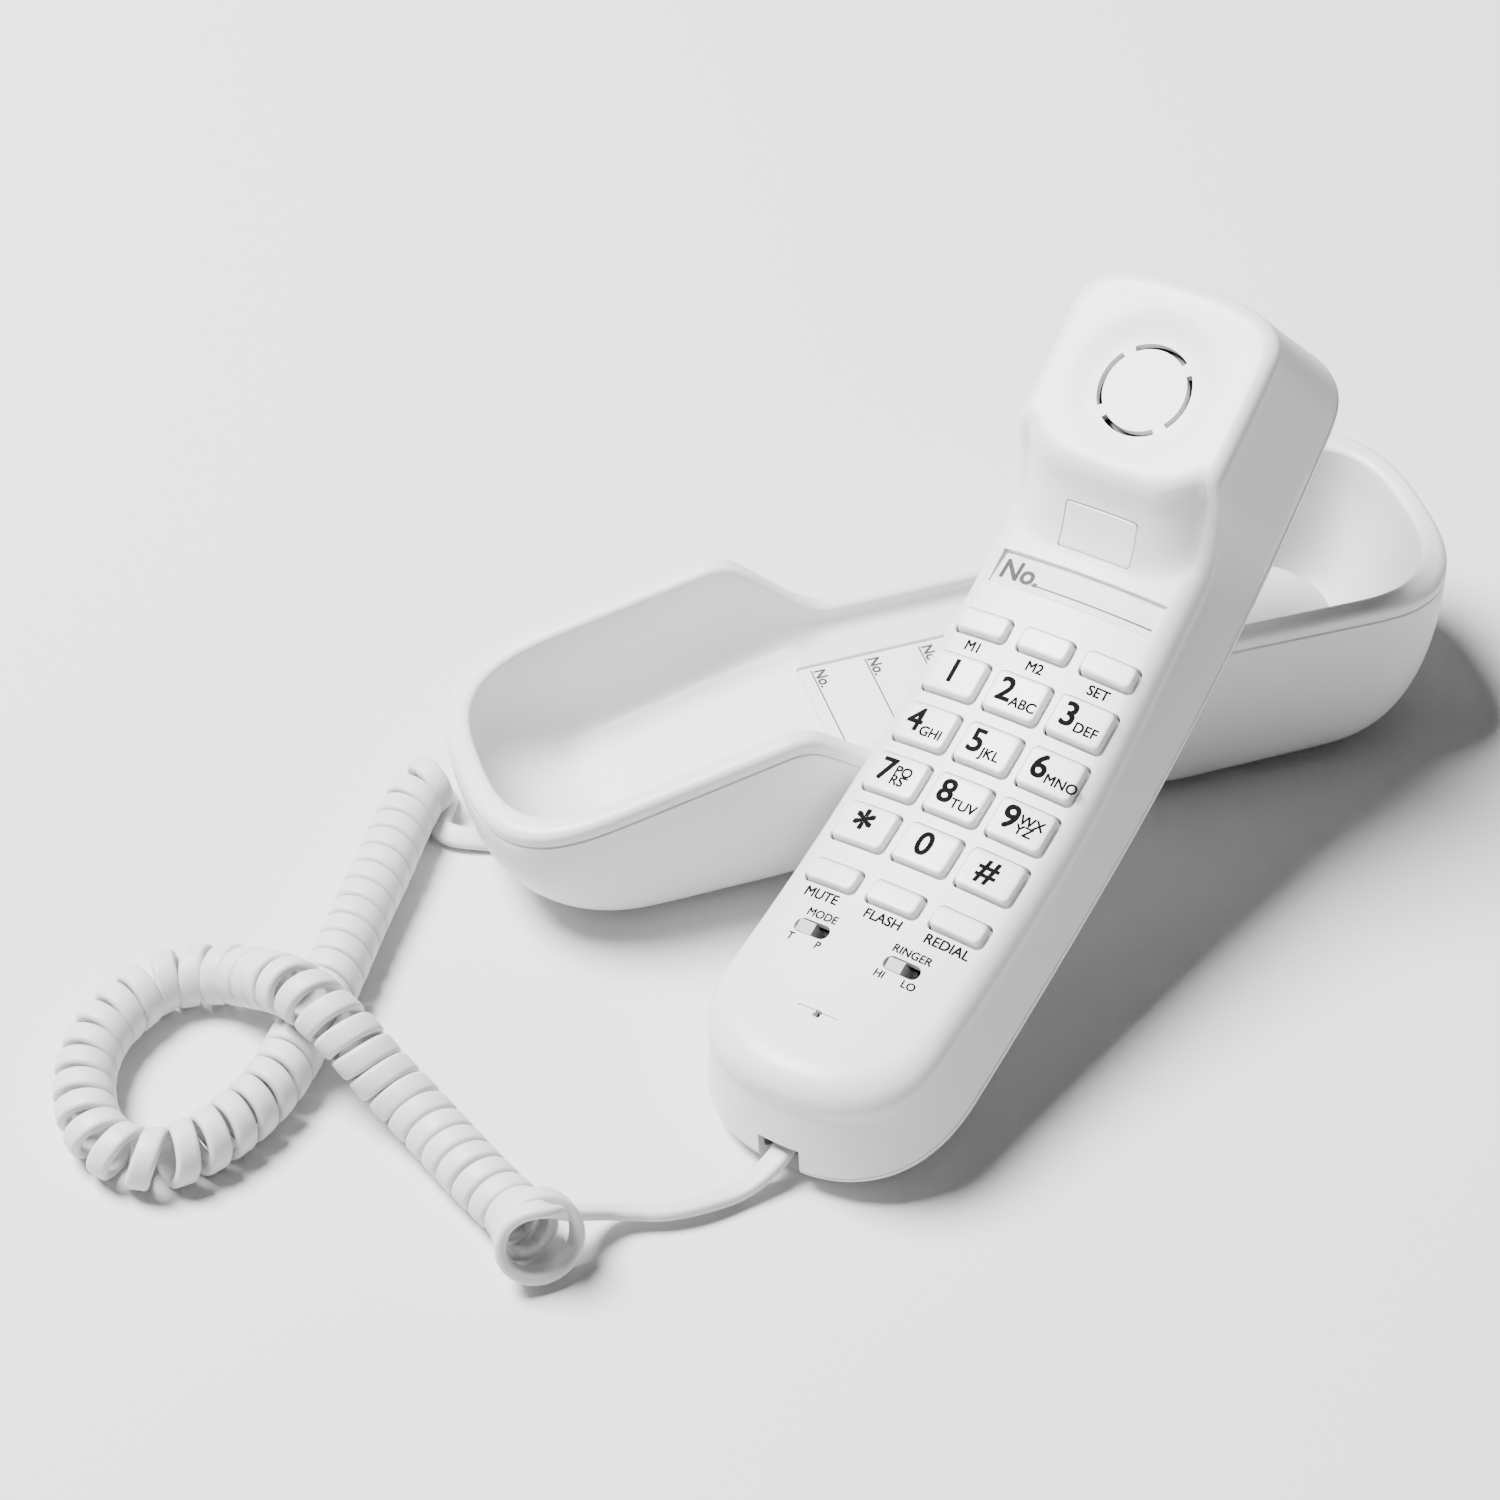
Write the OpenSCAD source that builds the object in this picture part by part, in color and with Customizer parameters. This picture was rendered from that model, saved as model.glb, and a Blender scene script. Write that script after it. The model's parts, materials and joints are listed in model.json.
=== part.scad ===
// Slimline wall telephone: cradle, handset with its keys and switches, and curly handset cord.
// Millimetres, +Z up. The cradle lies on its feet with its length along X, the ear bowl at +X.
// The handset leans across the cradle, its mouth end on the table, its keys facing up.
// The origin is on the table, under the middle of the cradle and handset together.

/* [Cradle] */
// Length over the rim
cradle_l = 222; // [210:1:234]
// Width over the rim at the two bowls
bowl_w = 63; // [61:1:68]
// Width over the rim at the waist
waist_w = 57; // [54:1:59]
// Height of the rim at the mouth end
mouth_rim_h = 30; // [28:1:32]
// Height of the rim at its two shoulders
shoulder_h = 46; // [42:1:48]
// Height of the rim beside the number card
waist_h = 29; // [27:1:31]
// Height of the card platform
platform_h = 23; // [21:1:24]
// Height of the floor in the two bowls
bowl_floor_h = 9; // [8:1:11]
// Radius of the raised boss that fills the earpiece dish
boss_r = 18; // [14:1:20]
// Distance between the two wall keyholes
keyhole_pitch = 83.3; // [80:0.1:90]
// Radius of a keyhole's round entry
keyhole_r = 4.3; // [4:0.1:5]

/* [Handset] */
// Length from the keypad's middle to the mouth end
mouth_l = 88; // [86:1:92]
// Length from the keypad's middle to the ear end
ear_l = 117; // [114:1:120]
// Width at the parting line
handset_w = 59; // [57:1:61]
// Depth from the keypad face to the parting line
front_d = 18; // [17:1:20]
// Depth of the back shell below the parting line
back_d = 7; // [6:1:8]
// Radius of the long bend of the handset
bend_r = 333; // [300:1:400]
// Radius of the crown across the keypad face
crown_r = 147; // [130:1:200]
// Height of the ear head above the keypad face
head_h = 13.8; // [12:0.2:15]

/* [Keys] */
// Distance between key columns
column_pitch = 15.24; // [14.6:0.02:15.6]
// Distance between key rows
row_pitch = 12.7; // [12.2:0.1:13]
// Number key width and length
number_key = [13.2, 9.6]; // [10:0.1:13.4]
// Function key width and length
function_key = [12.4, 5.6]; // [5:0.1:12.6]
// Height of a key above the face
key_rise = 1.6; // [1:0.1:2]
// Travel of a key
key_travel = 1.2; // [0.8:0.1:1.4]
// Travel of a slide switch
switch_travel = 3.4; // [2.4:0.1:3.6]

/* [Cord] */
// Width of the flat cord
cord_w = 5; // [4.4:0.1:5.4]
// Thickness of the flat cord
cord_t = 2.4; // [2:0.1:2.6]
// Outer diameter of the curly part
coil_d = 13; // [12:0.5:13]

/* [Pose] */
// Place of the cradle's middle on the table
cradle_pos = [0, 43.5, 0]; // [-60:0.5:60]
// Place of the keypad's middle
handset_pos = [-15.7, -13.6, 50.2]; // [-60:0.1:60]
// Roll, pitch and yaw of the handset, in degrees
handset_turn = [-5, -22, 39.2]; // [-60:0.1:60]

/* [Hidden] */

white = [0.93, 0.93, 0.92];
soft_white = [0.88, 0.88, 0.87];
steel = [0.62, 0.63, 0.65];
wall = 2.2;
gap = 0.35;
eps = 0.01;

// Cradle: lengthwise places, from the cradle's middle
half_l = cradle_l / 2;
shoulder_x = 47;
waist_x = 19;
mouth_round = 30;
ear_round = 26;
foot_h = 3;
rim_t = 5;
lip_h = 3.6;
seam = 0.2;
side_tuck = 7;
end_tuck = 22;
bowl_side_tuck = 9;
bowl_mouth_tuck = 24;
bowl_ear_tuck = 20;
side_points = 18;
end_points = 6;
foot_x = 75;
foot_y = 16.5;
foot_r = 5.5;
boss_x = 72;
boss_h = 21.5;
card_l = 62;
card_w = 27;
jack_size = [13, 11, 8.2];
jack_x = -54;
jack_y = 7.2;
keyhole_x = 8;
cradle_screw_x = [-33, 34];
cradle_screw_y = [-14, 14];
post_low = foot_h + 3;
jack_floor = 5.4;
jack_mouth_l = 20;
socket = [11.5, 7.9, 6.8];
plug_size = [11, 7.6, 6.5];
ramp_slope = 0.27;
ear_ramp_x = 40;
ear_ramp_l = 28;
keyhole_slot = 9;
keyhole_slot_r = 2.3;

// Handset: lengthwise places, from the keypad's middle
handset_mouth_round = 30;
handset_ear_round = 16;
handset_points = 16;
edge_r = 4.5;
side_draft = 3.2;
mouth_draft = 7;
ear_draft = 8;
neck_x = 52;
neck_l = 15;
head_corner = 21;
ear_x = 84.5;
mic_x = -61.7;
window_x = 45.5;
window_l = 7.4;
window_w = 39.4;
board_z = -8.6;
key_floor_z = -4.4;
switch_x = [-44.6, -45];
switch_y = [12.6, -9.6];
hook_x = 57;
hook_size = [7.2, 17.2];
hook_travel = 2;
column_y = [column_pitch, 0, -column_pitch];
mouth_edge_r = 9;
head_edge_r = 3.2;
back_crown = 1.6;
ring_r = 9.2;
ring_slot = 1;
ring_sweep = 70;
head_tilt = 10.8;
handset_jack_z = -16;
handset_jack_size = [12, 11, 7.4];
handset_jack_x = -82;
handset_screws_at = [[-62, 16], [-62, -16], [66, 0]];
mat_top = -5.9;

// Cord: the points that its parts follow, chosen by hand, on the table or on one another
lead_z = cord_t / 2 + 0.1;
handset_lead_route = [[-71.2, -60.2, 7.7], [-74.5, -62.5, 5.9], [-79.2, -64.3, 3.6], [-84.4, -65.7, 1.9],
    [-90, -66.6, lead_z], [-95, -66.8, lead_z], [-100, -66.2, lead_z], [-105, -64.3, lead_z],
    [-110, -62.1, lead_z], [-115, -60.5, lead_z], [-119, -60.5, 2], [-124.2, -62, 4.2]];
coil_route = [[-127.6, -68.5, 6.5], [-129.2, -60.5, 6.5], [-133.1, -49.5, 6.5], [-137.5, -36.5, 6.5],
    [-141.5, -27, 8], [-146, -19.5, 12], [-150.5, -12, 17.2], [-155.6, -3, 19.8],
    [-159.4, 5, 17.6], [-163, 13.5, 12], [-168, 20.5, 8], [-175, 24, 6.5], [-183, 24, 6.5],
    [-190, 20, 6.5], [-196.5, 14.5, 6.5], [-201.5, 6.5, 6.5], [-204, -2.5, 6.5], [-204, -11.5, 6.5],
    [-200.5, -19, 6.5], [-193.5, -23.5, 6.5], [-185, -22.7, 6.5], [-176, -18.5, 6.5], [-167.5, -12, 6.5],
    [-160.5, -3.8, 6.5], [-154.3, 4.9, 6.5], [-148, 13.5, 6.5], [-138.7, 28.3, 6.5], [-129.5, 42.3, 6.5],
    [-121, 55.7, 6.5], [-114.5, 65, 6.5]];
cradle_lead_route = [[-115, 62.5, 3], [-115.4, 58.5, lead_z], [-114.6, 54.5, lead_z], [-111.8, 51.1, lead_z],
    [-107, 48.7, lead_z], [-101, 46.9, lead_z], [-95, 44.7, lead_z], [-89, 41.9, lead_z],
    [-83, 39.1, lead_z], [-77, 37.1, lead_z], [-71.5, 36.3, 2], [-67, 36.3, 4.2], [-62.5, 36.3, 7],
    [-58, 36.3, 9.2], [-54.6, 36.3, 9.5]];

function mix(a, b, t) = a + (b - a) * t;
function smooth(t) = let (u = min(max(t, 0), 1)) u * u * (3 - 2 * u);
// Inset of a rounded hull at depth t (0 at the top, 1 at the bottom), as a share of the whole inset
function tuck(t, n) = 1 - pow(1 - pow(t, n), 1 / n);

// Half outline as [length place, share of the half width], from the first end round to the other.
// first and last are the ends' places, first_round and last_round the lengths of their roundings.
function half_outline(first, last, first_round, last_round, first_n, last_n, sides) = concat(
    [for (k = [0:end_points]) let (a = 90 * k / end_points)
        [first + first_round * (1 - pow(cos(a), 2 / first_n)), pow(sin(a), 2 / first_n)]],
    [for (k = [1:sides - 1]) [mix(first + first_round, last - last_round, k / sides), 1]],
    [for (k = [0:end_points]) let (a = 90 * k / end_points)
        [last - last_round * (1 - pow(sin(a), 2 / last_n)), pow(cos(a), 2 / last_n)]]);

// Whole ring of points from a half ring on the +Y side
function mirror_ring(half) = concat(half,
    [for (k = [len(half) - 2:-1:1]) [half[k][0], -half[k][1], half[k][2]]]);

// Solid between rings of equal length; each end is closed by strips across its width.
// tip is 1 where the rings start on the axis, and 0 where they start with a pair beside it.
module loft(rings, tip = 1) {
    n = len(rings[0]);
    m = len(rings);
    band = [for (j = [0:m - 2]) for (k = [0:n - 1]) let (a = j * n + k, b = j * n + (k + 1) % n)
        each [[a, b, b + n], [a, b + n, a + n]]];
    strip = [for (k = [tip:n / 2 - 2]) let (pair = n - 1 + tip - k)
        each [[k, k + 1, pair - 1], [k, pair - 1, pair]]];
    cap = tip == 1 ? concat([[0, 1, n - 1], [n / 2 - 1, n / 2, n / 2 + 1]], strip) : strip;
    last = (m - 1) * n;
    polyhedron([for (r = rings) each r], concat(band,
        [for (t = cap) [t[2], t[1], t[0]]], [for (t = cap) [t[0] + last, t[1] + last, t[2] + last]]));
}

// ---- Cradle surfaces ----
function rim_z(x) = let (s = abs(x), shoulder = smooth((s - waist_x) / (shoulder_x - waist_x)))
    mix(waist_h, shoulder_h, shoulder)
    - (x < 0 ? (shoulder_h - mouth_rim_h) : 2) * max(0, s - shoulder_x + 6) / (half_l - shoulder_x + 6);
function rim_w(x) = mix(waist_w, bowl_w, smooth((abs(x) - waist_x) / (shoulder_x - waist_x))) / 2;
function floor_z(x) = x < 0
    ? max(bowl_floor_h, min(platform_h, platform_h + ramp_slope * (x + card_l / 2 - 1)))
    : mix(platform_h, bowl_floor_h, smooth((x - ear_ramp_x) / ear_ramp_l));
// Ring of the cradle: side and end insets, and a height function's share between top and bottom
function cradle_ring(side, mouth, ear, top_drop, floor_share, floor_up, low) = mirror_ring(
    [for (p = half_outline(-half_l + mouth, half_l - ear, mouth_round - 0.4 * mouth,
            ear_round - 0.3 * ear, 3, 2.7, side_points))
        let (top = rim_z(p[0]) - top_drop, bottom = low ? foot_h + floor_up : floor_z(p[0]) + floor_up)
        [p[0], (rim_w(p[0]) - side) * p[1], mix(top, bottom, floor_share)]]);
hull_steps = [1, 0.94, 0.82, 0.62, 0.35, 0];
bowl_steps = [0.25, 0.5, 0.72, 0.88, 0.97, 1];
function hull_ring(t, thick) = cradle_ring(thick + side_tuck * tuck(t, 3.6), thick + end_tuck * tuck(t, 2.2),
    thick + end_tuck * 0.8 * tuck(t, 2.2), lip_h + seam, t, thick, true);
function bowl_ring(t, thick) = cradle_ring(rim_t - thick + bowl_side_tuck * tuck(t, 3),
    rim_t - thick + bowl_mouth_tuck * tuck(t, 2.1), rim_t - thick + bowl_ear_tuck * tuck(t, 2.2),
    1.4 + thick, t, -thick, false);

module cradle_top_shell() {
    color(white) translate(cradle_pos) difference() {
        union() {
            loft(concat(
                [for (t = [1, 0.88, 0.5]) bowl_ring(t, wall)],
                [cradle_ring(rim_t - wall, rim_t - wall, rim_t - wall, lip_h, 0, 0, false),
                 cradle_ring(wall - gap, wall - gap, wall - gap, lip_h, 0, 0, false),
                 cradle_ring(0, 0, 0, lip_h, 0, 0, false),
                 cradle_ring(0, 0, 0, 1.5, 0, 0, false),
                 cradle_ring(1.4, 1.4, 1.4, 0, 0, 0, false),
                 cradle_ring(rim_t - 1.4, rim_t - 1.4, rim_t - 1.4, 0, 0, 0, false)],
                [for (t = concat([0], bowl_steps)) bowl_ring(t, 0)]));
            ear_boss();
            for (x = cradle_screw_x, y = cradle_screw_y) screw_post(x, y);
            for (x = [-20, 0, 20]) platform_rib(x);
        }
        translate([-card_l / 2, -card_w / 2, platform_h - 1]) cube([card_l, card_w, 4]);
    }
}
// Boss with a rounded edge, from the bowl's floor up into the earpiece dish
module ear_boss() {
    boss_edge = 2.5;
    rise = boss_h - bowl_floor_h;
    translate([boss_x, 0, bowl_floor_h - 1]) hull() {
        cylinder(r = boss_r, h = rise + 1 - boss_edge, $fn = 32);
        cylinder(r = boss_r - boss_edge, h = rise + 1, $fn = 32);
    }
}
// Post that a cradle screw bites into, under the tray
module screw_post(x, y) {
    top = floor_z(x) - wall + 0.8;
    hull() {
        translate([x, y, post_low]) cylinder(r = 3, h = 1, $fn = 16);
        translate([x, y, top - 1]) cylinder(r = 3.4, h = 1, $fn = 16);
    }
}
// Stiffening rib across the underside of the card platform
module platform_rib(x) {
    hull() for (y = [-15, 15]) translate([x - 0.7, y - 1, 12]) cube([1.4, 2, platform_h - wall - 11.5]);
}
module cradle_bottom_shell() {
    color(white) translate(cradle_pos) difference() {
        loft(concat(
            [for (t = hull_steps) hull_ring(t, 0)],
            [for (t = [0, 0.5, 0.8, 0.94, 1]) hull_ring(t, wall)]));
        for (side = [-1, 1]) translate([jack_x - jack_mouth_l, side * jack_y - jack_size[1] / 2, 0])
            cube([jack_mouth_l, jack_size[1], foot_h + wall + 1]);
        for (side = [-1, 1]) translate([keyhole_x + side * keyhole_pitch / 2, 0, 0]) keyhole();
        for (x = cradle_screw_x, y = cradle_screw_y) translate([x, y, 0]) cylinder(r = 1.7, h = 10);
        for (x = [-foot_x, foot_x], y = [-foot_y, foot_y]) translate([x, y, 0]) cylinder(r = 2, h = 10);
    }
}
// Round entry for a wall stud, with the narrow slot that the stud hangs in towards the ear end
module keyhole() {
    cylinder(r = keyhole_r, h = 10);
    translate([0, -keyhole_slot_r + 0.05, 0]) cube([keyhole_slot, 2 * keyhole_slot_r - 0.1, 10]);
    translate([keyhole_slot, 0, 0]) cylinder(r = keyhole_slot_r, h = 10);
}
module number_card() {
    color("white") translate(cradle_pos) translate([-card_l / 2 + 0.2, -card_w / 2 + 0.2, platform_h - 1])
        cube([card_l - 0.4, card_w - 0.4, 0.3]);
}
module card_cover() {
    color([0.9, 0.95, 1, 0.4]) translate(cradle_pos)
        translate([-card_l / 2 + 0.2, -card_w / 2 + 0.2, platform_h - 0.7])
            cube([card_l - 0.4, card_w - 0.4, 0.5]);
}
module cradle_feet() {
    color(soft_white) translate(cradle_pos) for (x = [-foot_x, foot_x], y = [-foot_y, foot_y])
        translate([x, y, 0]) {
            cylinder(r1 = foot_r - 0.8, r2 = foot_r, h = foot_h);
            translate([0, 0, foot_h]) cylinder(r = 1.9, h = wall + 0.3);
            translate([0, 0, foot_h + wall + 0.3]) cylinder(r = 2.6, h = 0.8);
        }
}
// Modular jack on the cradle's floor, its socket open towards the mouth end
module cradle_jack(y) {
    translate([jack_x, y - jack_size[1] / 2, jack_floor]) difference() {
        cube(jack_size);
        translate([-eps, (jack_size[1] - socket[1]) / 2, (jack_size[2] - socket[2]) / 2]) cube(socket);
    }
}
module cradle_cord_jack() { color([0.2, 0.2, 0.21]) translate(cradle_pos) cradle_jack(-jack_y); }
module line_jack() { color([0.2, 0.2, 0.21]) translate(cradle_pos) cradle_jack(jack_y); }
module jack_board() {
    color([0.1, 0.35, 0.2]) translate(cradle_pos)
        translate([jack_x + jack_size[0], -18, jack_floor]) cube([1.6, 36, 8]);
}
module cradle_ballast() {
    color(steel) translate(cradle_pos) translate([-14, -16, foot_h + wall]) cube([44, 32, 4]);
}
module cradle_screws() {
    color(steel) translate(cradle_pos) for (x = cradle_screw_x, y = cradle_screw_y) translate([x, y, 0]) {
        translate([0, 0, foot_h - 1.4]) cylinder(r = 2.8, h = 1.4);
        translate([0, 0, foot_h]) cylinder(r = 1.4, h = 7);
    }
}

// ---- Handset surfaces, in the handset's frame: X to the ear, Y to the left, Z out of the keypad ----
function head_share(x, y) = smooth((x - neck_x - 5 * pow(min(abs(y), head_corner) / 20, 4)) / neck_l);
function face_z(x, y) = x * x / (2 * bend_r) - (1 - head_share(x, y)) * y * y / (2 * crown_r)
    + (head_h - 0.06 * (x - neck_x - neck_l)) * head_share(x, y);
function part_z(x) = (x < 0 ? 0.4 : 1) * x * x / (2 * bend_r) - front_d;
function face_w(x) = handset_w / 2 - side_draft - 1.9 * smooth((x + 10) / 60);
function edge_at(x) = mix(mix(edge_r, head_edge_r, smooth((x - neck_x) / neck_l)),
    mouth_edge_r, smooth((-60 - x) / 25));
// Ring of the front shell. share goes up the wall, turn round the edge (0 to 90), shrink over the face.
function front_ring(share, turn, shrink, thick) =
    let (mouth = thick + mouth_draft * share + (mouth_edge_r - thick) * (1 - cos(turn)),
        ear = thick + ear_draft * share + (edge_r - thick) * (1 - cos(turn)),
        mouth_round = handset_mouth_round - mouth_draft * share,
        ear_round = handset_ear_round - 0.4 * ear)
    mirror_ring([for (p = half_outline(-mouth_l + mouth + mouth_round * (1 - shrink),
            ear_l - ear - ear_round * (1 - shrink), mouth_round * shrink, ear_round * shrink, 2.4, 3,
            handset_points))
        let (x = p[0], r = edge_at(x) - thick,
            y = shrink * p[1] * (mix(handset_w / 2, face_w(x), share) - thick - r * (1 - cos(turn))))
        [x, y, mix(part_z(x), face_z(x, y) - thick - r * (1 - sin(turn)), share)]]);
// Ring of the back shell. depth goes down to the back, shrink over it.
function back_ring(depth, shrink, thick) =
    let (inset = thick + 9 * tuck(depth, 2), mouth_round = handset_mouth_round - 0.5 * inset,
        ear_round = handset_ear_round - 0.3 * inset)
    mirror_ring([for (p = half_outline(-mouth_l + inset + mouth_round * (1 - shrink),
            ear_l - inset - ear_round * (1 - shrink), mouth_round * shrink, ear_round * shrink, 2.4, 3,
            handset_points))
        [p[0], shrink * p[1] * (handset_w / 2 - inset),
         part_z(p[0]) - (back_d - thick) * depth - back_crown * (1 - shrink)]]);
module in_handset() { translate(handset_pos) rotate([0, 0, handset_turn[2]]) rotate([0, handset_turn[1], 0])
    rotate([handset_turn[0], 0, 0]) children(); }
// Upright hole with rounded corners
module opening(x, y, size, r) {
    hull() for (i = [-1, 1], j = [-1, 1])
        translate([x + i * (size[0] / 2 - r), y + j * (size[1] / 2 - r), -12])
            cylinder(r = r, h = 50, $fn = 16);
}
// Key places: rows 0 to 5 from the mouth end, columns 0 to 2 from the left
function key_x(row) = (row - 2.5) * row_pitch;
function key_size(row) = row == 0 || row == 5 ? function_key : number_key;

module handset_front_shell() {
    color(white) in_handset() difference() {
        union() {
            loft(concat(
                [for (s = [0.35, 0.7]) front_ring(1, 90, s, wall)],
                [front_ring(1, 90, 1, wall), front_ring(1, 0, 1, wall), front_ring(0, 0, 1, wall),
                 front_ring(0, 0, 1, 0), front_ring(0.5, 0, 1, 0)],
                [for (turn = [0, 30, 60, 90]) front_ring(1, turn, 1, 0)],
                [for (s = [0.7, 0.35]) front_ring(1, 90, s, 0)]));
            for (p = handset_screws_at) translate([p[0], p[1], part_z(p[0])])
                cylinder(r = 3, h = face_z(p[0] - 3, p[1]) - part_z(p[0]) - 1, $fn = 20);
        }
        for (row = [0:5], column = [0:2])
            opening(key_x(row), column_y[column],
                [key_size(row)[1] + 2 * gap, key_size(row)[0] + 2 * gap], 1.4);
        for (k = [0, 1]) opening(switch_x[k], switch_y[k], [3.4, 8.4], 1.6);
        opening(hook_x, 0, [hook_size[0] + 2 * gap, hook_size[1] + 2 * gap], 0.8);
        label_bar(window_l + 0.4, window_w + 0.4, -1.1, 3);
        translate([mic_x - 0.7, -0.7, -12]) cube([1.4, 1.4, 30]);
        in_head() for (k = [0:3]) rotate([0, 0, 90 * k + 90 - ring_sweep / 2])
            rotate_extrude(angle = ring_sweep, $fn = 48)
                translate([ring_r, -8]) square([ring_slot, 20]);
        cord_mouth();
    }
}
module handset_back_shell() {
    color(white) in_handset() difference() {
        loft(concat(
            [for (s = [0.35, 0.7]) back_ring(1, s, 0)],
            [for (depth = [1, 0.85, 0.5, 0]) back_ring(depth, 1, 0)],
            [for (depth = [0, 0.6, 1]) back_ring(depth, 1, wall)],
            [for (s = [0.7, 0.35]) back_ring(1, s, wall)]));
        cord_mouth();
        for (p = handset_screws_at) translate([p[0], p[1], -40]) cylinder(r = 1.7, h = 40);
    }
}
// Opening in the mouth end for the cord's plug
module cord_mouth() {
    translate([-mouth_l - 5, -5, handset_jack_z - 0.6]) cube([14, 10, 8]);
}
// Bar across the face that follows its crown, from height low to high over the face
module label_bar(l, w, low, high) {
    steps = 6;
    arc = [for (k = [-steps:steps]) let (y = k / steps * w / 2) [y, -y * y / (2 * crown_r)]];
    translate([window_x, 0, window_x * window_x / (2 * bend_r)]) rotate([90, 0, 90])
        translate([0, 0, -l / 2]) linear_extrude(l) polygon(concat(
            [for (p = arc) [p[0], p[1] + low]], [for (k = [2 * steps:-1:0]) [arc[k][0], arc[k][1] + high]]));
}
// The earpiece's frame: on the head's face, tilted with it
module in_head() { translate([ear_x, 0, face_z(ear_x, 0)]) rotate([0, -head_tilt, 0]) children(); }
module label_card() { color("white") in_handset() label_bar(window_l, window_w, -1.1, -0.8); }
module label_window() { color([0.9, 0.95, 1, 0.4]) in_handset() label_bar(window_l, window_w, -0.8, -0.2); }
module receiver() {
    color([0.25, 0.25, 0.27]) in_handset() in_head() translate([0, 0, -13]) {
        cylinder(r = 14, h = 8);
        translate([0, 0, 8]) cylinder(r = 10, h = 1.4);
    }
}
module receiver_gasket() {
    color([0.3, 0.3, 0.3]) in_handset() in_head() translate([0, 0, -5]) difference() {
        cylinder(r = 14, h = 1.6);
        translate([0, 0, -1]) cylinder(r = 12.5, h = 4);
    }
}
module microphone() {
    color(steel) in_handset() translate([mic_x, 0, -4]) cylinder(r = 4.85, h = 4.6);
}
module microphone_boot() {
    color([0.15, 0.15, 0.15]) in_handset() translate([mic_x, 0, -4]) difference() {
        cylinder(r = 6.2, h = 5.4);
        translate([0, 0, -1]) cylinder(r = 4.85, h = 8);
    }
}
module main_board() {
    color([0.1, 0.35, 0.2]) in_handset() translate([-56, -17, board_z - 1.6]) cube([106, 34, 1.6]);
}
module key_mat() {
    color([0.75, 0.75, 0.75]) in_handset() {
        translate([-38, -21, board_z]) cube([76, 42, 1.2]);
        for (row = [0:5], y = column_y) translate([key_x(row), y, board_z + 1.2])
            cylinder(r1 = 3, r2 = 2, h = mat_top - board_z - 1.2);
    }
}
// Body of a slide switch, on the board under its knob
module switch_body(k) {
    translate([switch_x[k] - 2.4, switch_y[k] - 5, board_z]) cube([4.8, 10, 4]);
}
module mode_switch_body() { color(steel) in_handset() switch_body(0); }
module ringer_switch_body() { color(steel) in_handset() switch_body(1); }
// Knob of a slide switch, at the left end of its slot; its foot slides on the switch's body
module switch_knob(k) {
    y = switch_y[k] + switch_travel / 2;
    top = face_z(switch_x[k], y) - 0.3;
    translate([switch_x[k] - 1.35, y - 1.9, -3]) cube([2.7, 3.8, top + 3]);
    translate([switch_x[k] - 2.2, y - 2.6, board_z + 4.3]) cube([4.4, 5.2, -3 - board_z - 4.3]);
}
module mode_knob() { color(soft_white) in_handset() switch_knob(0); }
module ringer_knob() { color(soft_white) in_handset() switch_knob(1); }
module hook_microswitch() {
    color([0.15, 0.15, 0.16]) in_handset() translate([hook_x - 5, -6, -7]) cube([11, 12, 5]);
}
module handset_jack() {
    color([0.2, 0.2, 0.21]) in_handset()
        translate([handset_jack_x, -handset_jack_size[1] / 2, handset_jack_z]) difference() {
            cube(handset_jack_size);
            translate([-eps, (handset_jack_size[1] - socket[1]) / 2, (handset_jack_size[2] - socket[2]) / 2])
                cube(socket - [0.3, 0, 0]);
        }
}
module ringer_disc() {
    color("gold") in_handset() translate([26, 0, -21]) cylinder(r = 13, h = 3);
}
module handset_ballast() {
    color(steel) in_handset() translate([-48, -13, -21.6]) cube([44, 26, 4]);
}
module handset_screws() {
    color(steel) in_handset() for (p = handset_screws_at)
        translate([p[0], p[1], part_z(p[0]) - back_d + 0.6]) cylinder(r = 1.5, h = back_d + 3);
}
// Hook-switch button: its top follows the neck's curve between the keypad and the head
module hook_button() {
    color(white) in_handset() loft(concat(
        [block_ring(hook_x, 0, [hook_size[0] + 1.2, hook_size[1] + 1.6], 0.8, 0, 0.2),
         block_ring(hook_x, 0, [hook_size[0] + 1.2, hook_size[1] + 1.6], 0.8, 0, 1.2)],
        [block_ring(hook_x, 0, hook_size, 0.6, 0, 1.2), block_ring(hook_x, 0, hook_size, 0.6, 1, 0)]), 0);
}
// Ring of a rounded block at a place. follow 0 is a flat ring at height z, follow 1 lies z over the face.
function block_ring(x, y, size, r, follow, z, steps = 5) =
    let (l = size[0] / 2, w = size[1] / 2,
        half = concat([[-l, w - r], [-l + 0.3 * r, w - 0.3 * r], [-l + r, w]],
            [for (k = [1:1:steps - 1]) [mix(-l + r, l - r, k / steps), w]],
            [[l - r, w], [l - 0.3 * r, w - 0.3 * r], [l, w - r]]))
    [for (p = concat(half, [for (k = [len(half) - 1:-1:0]) [half[k][0], -half[k][1]]]))
        [x + p[0], y + p[1], follow * face_z(x + p[0], y + p[1]) + z]];

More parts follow.
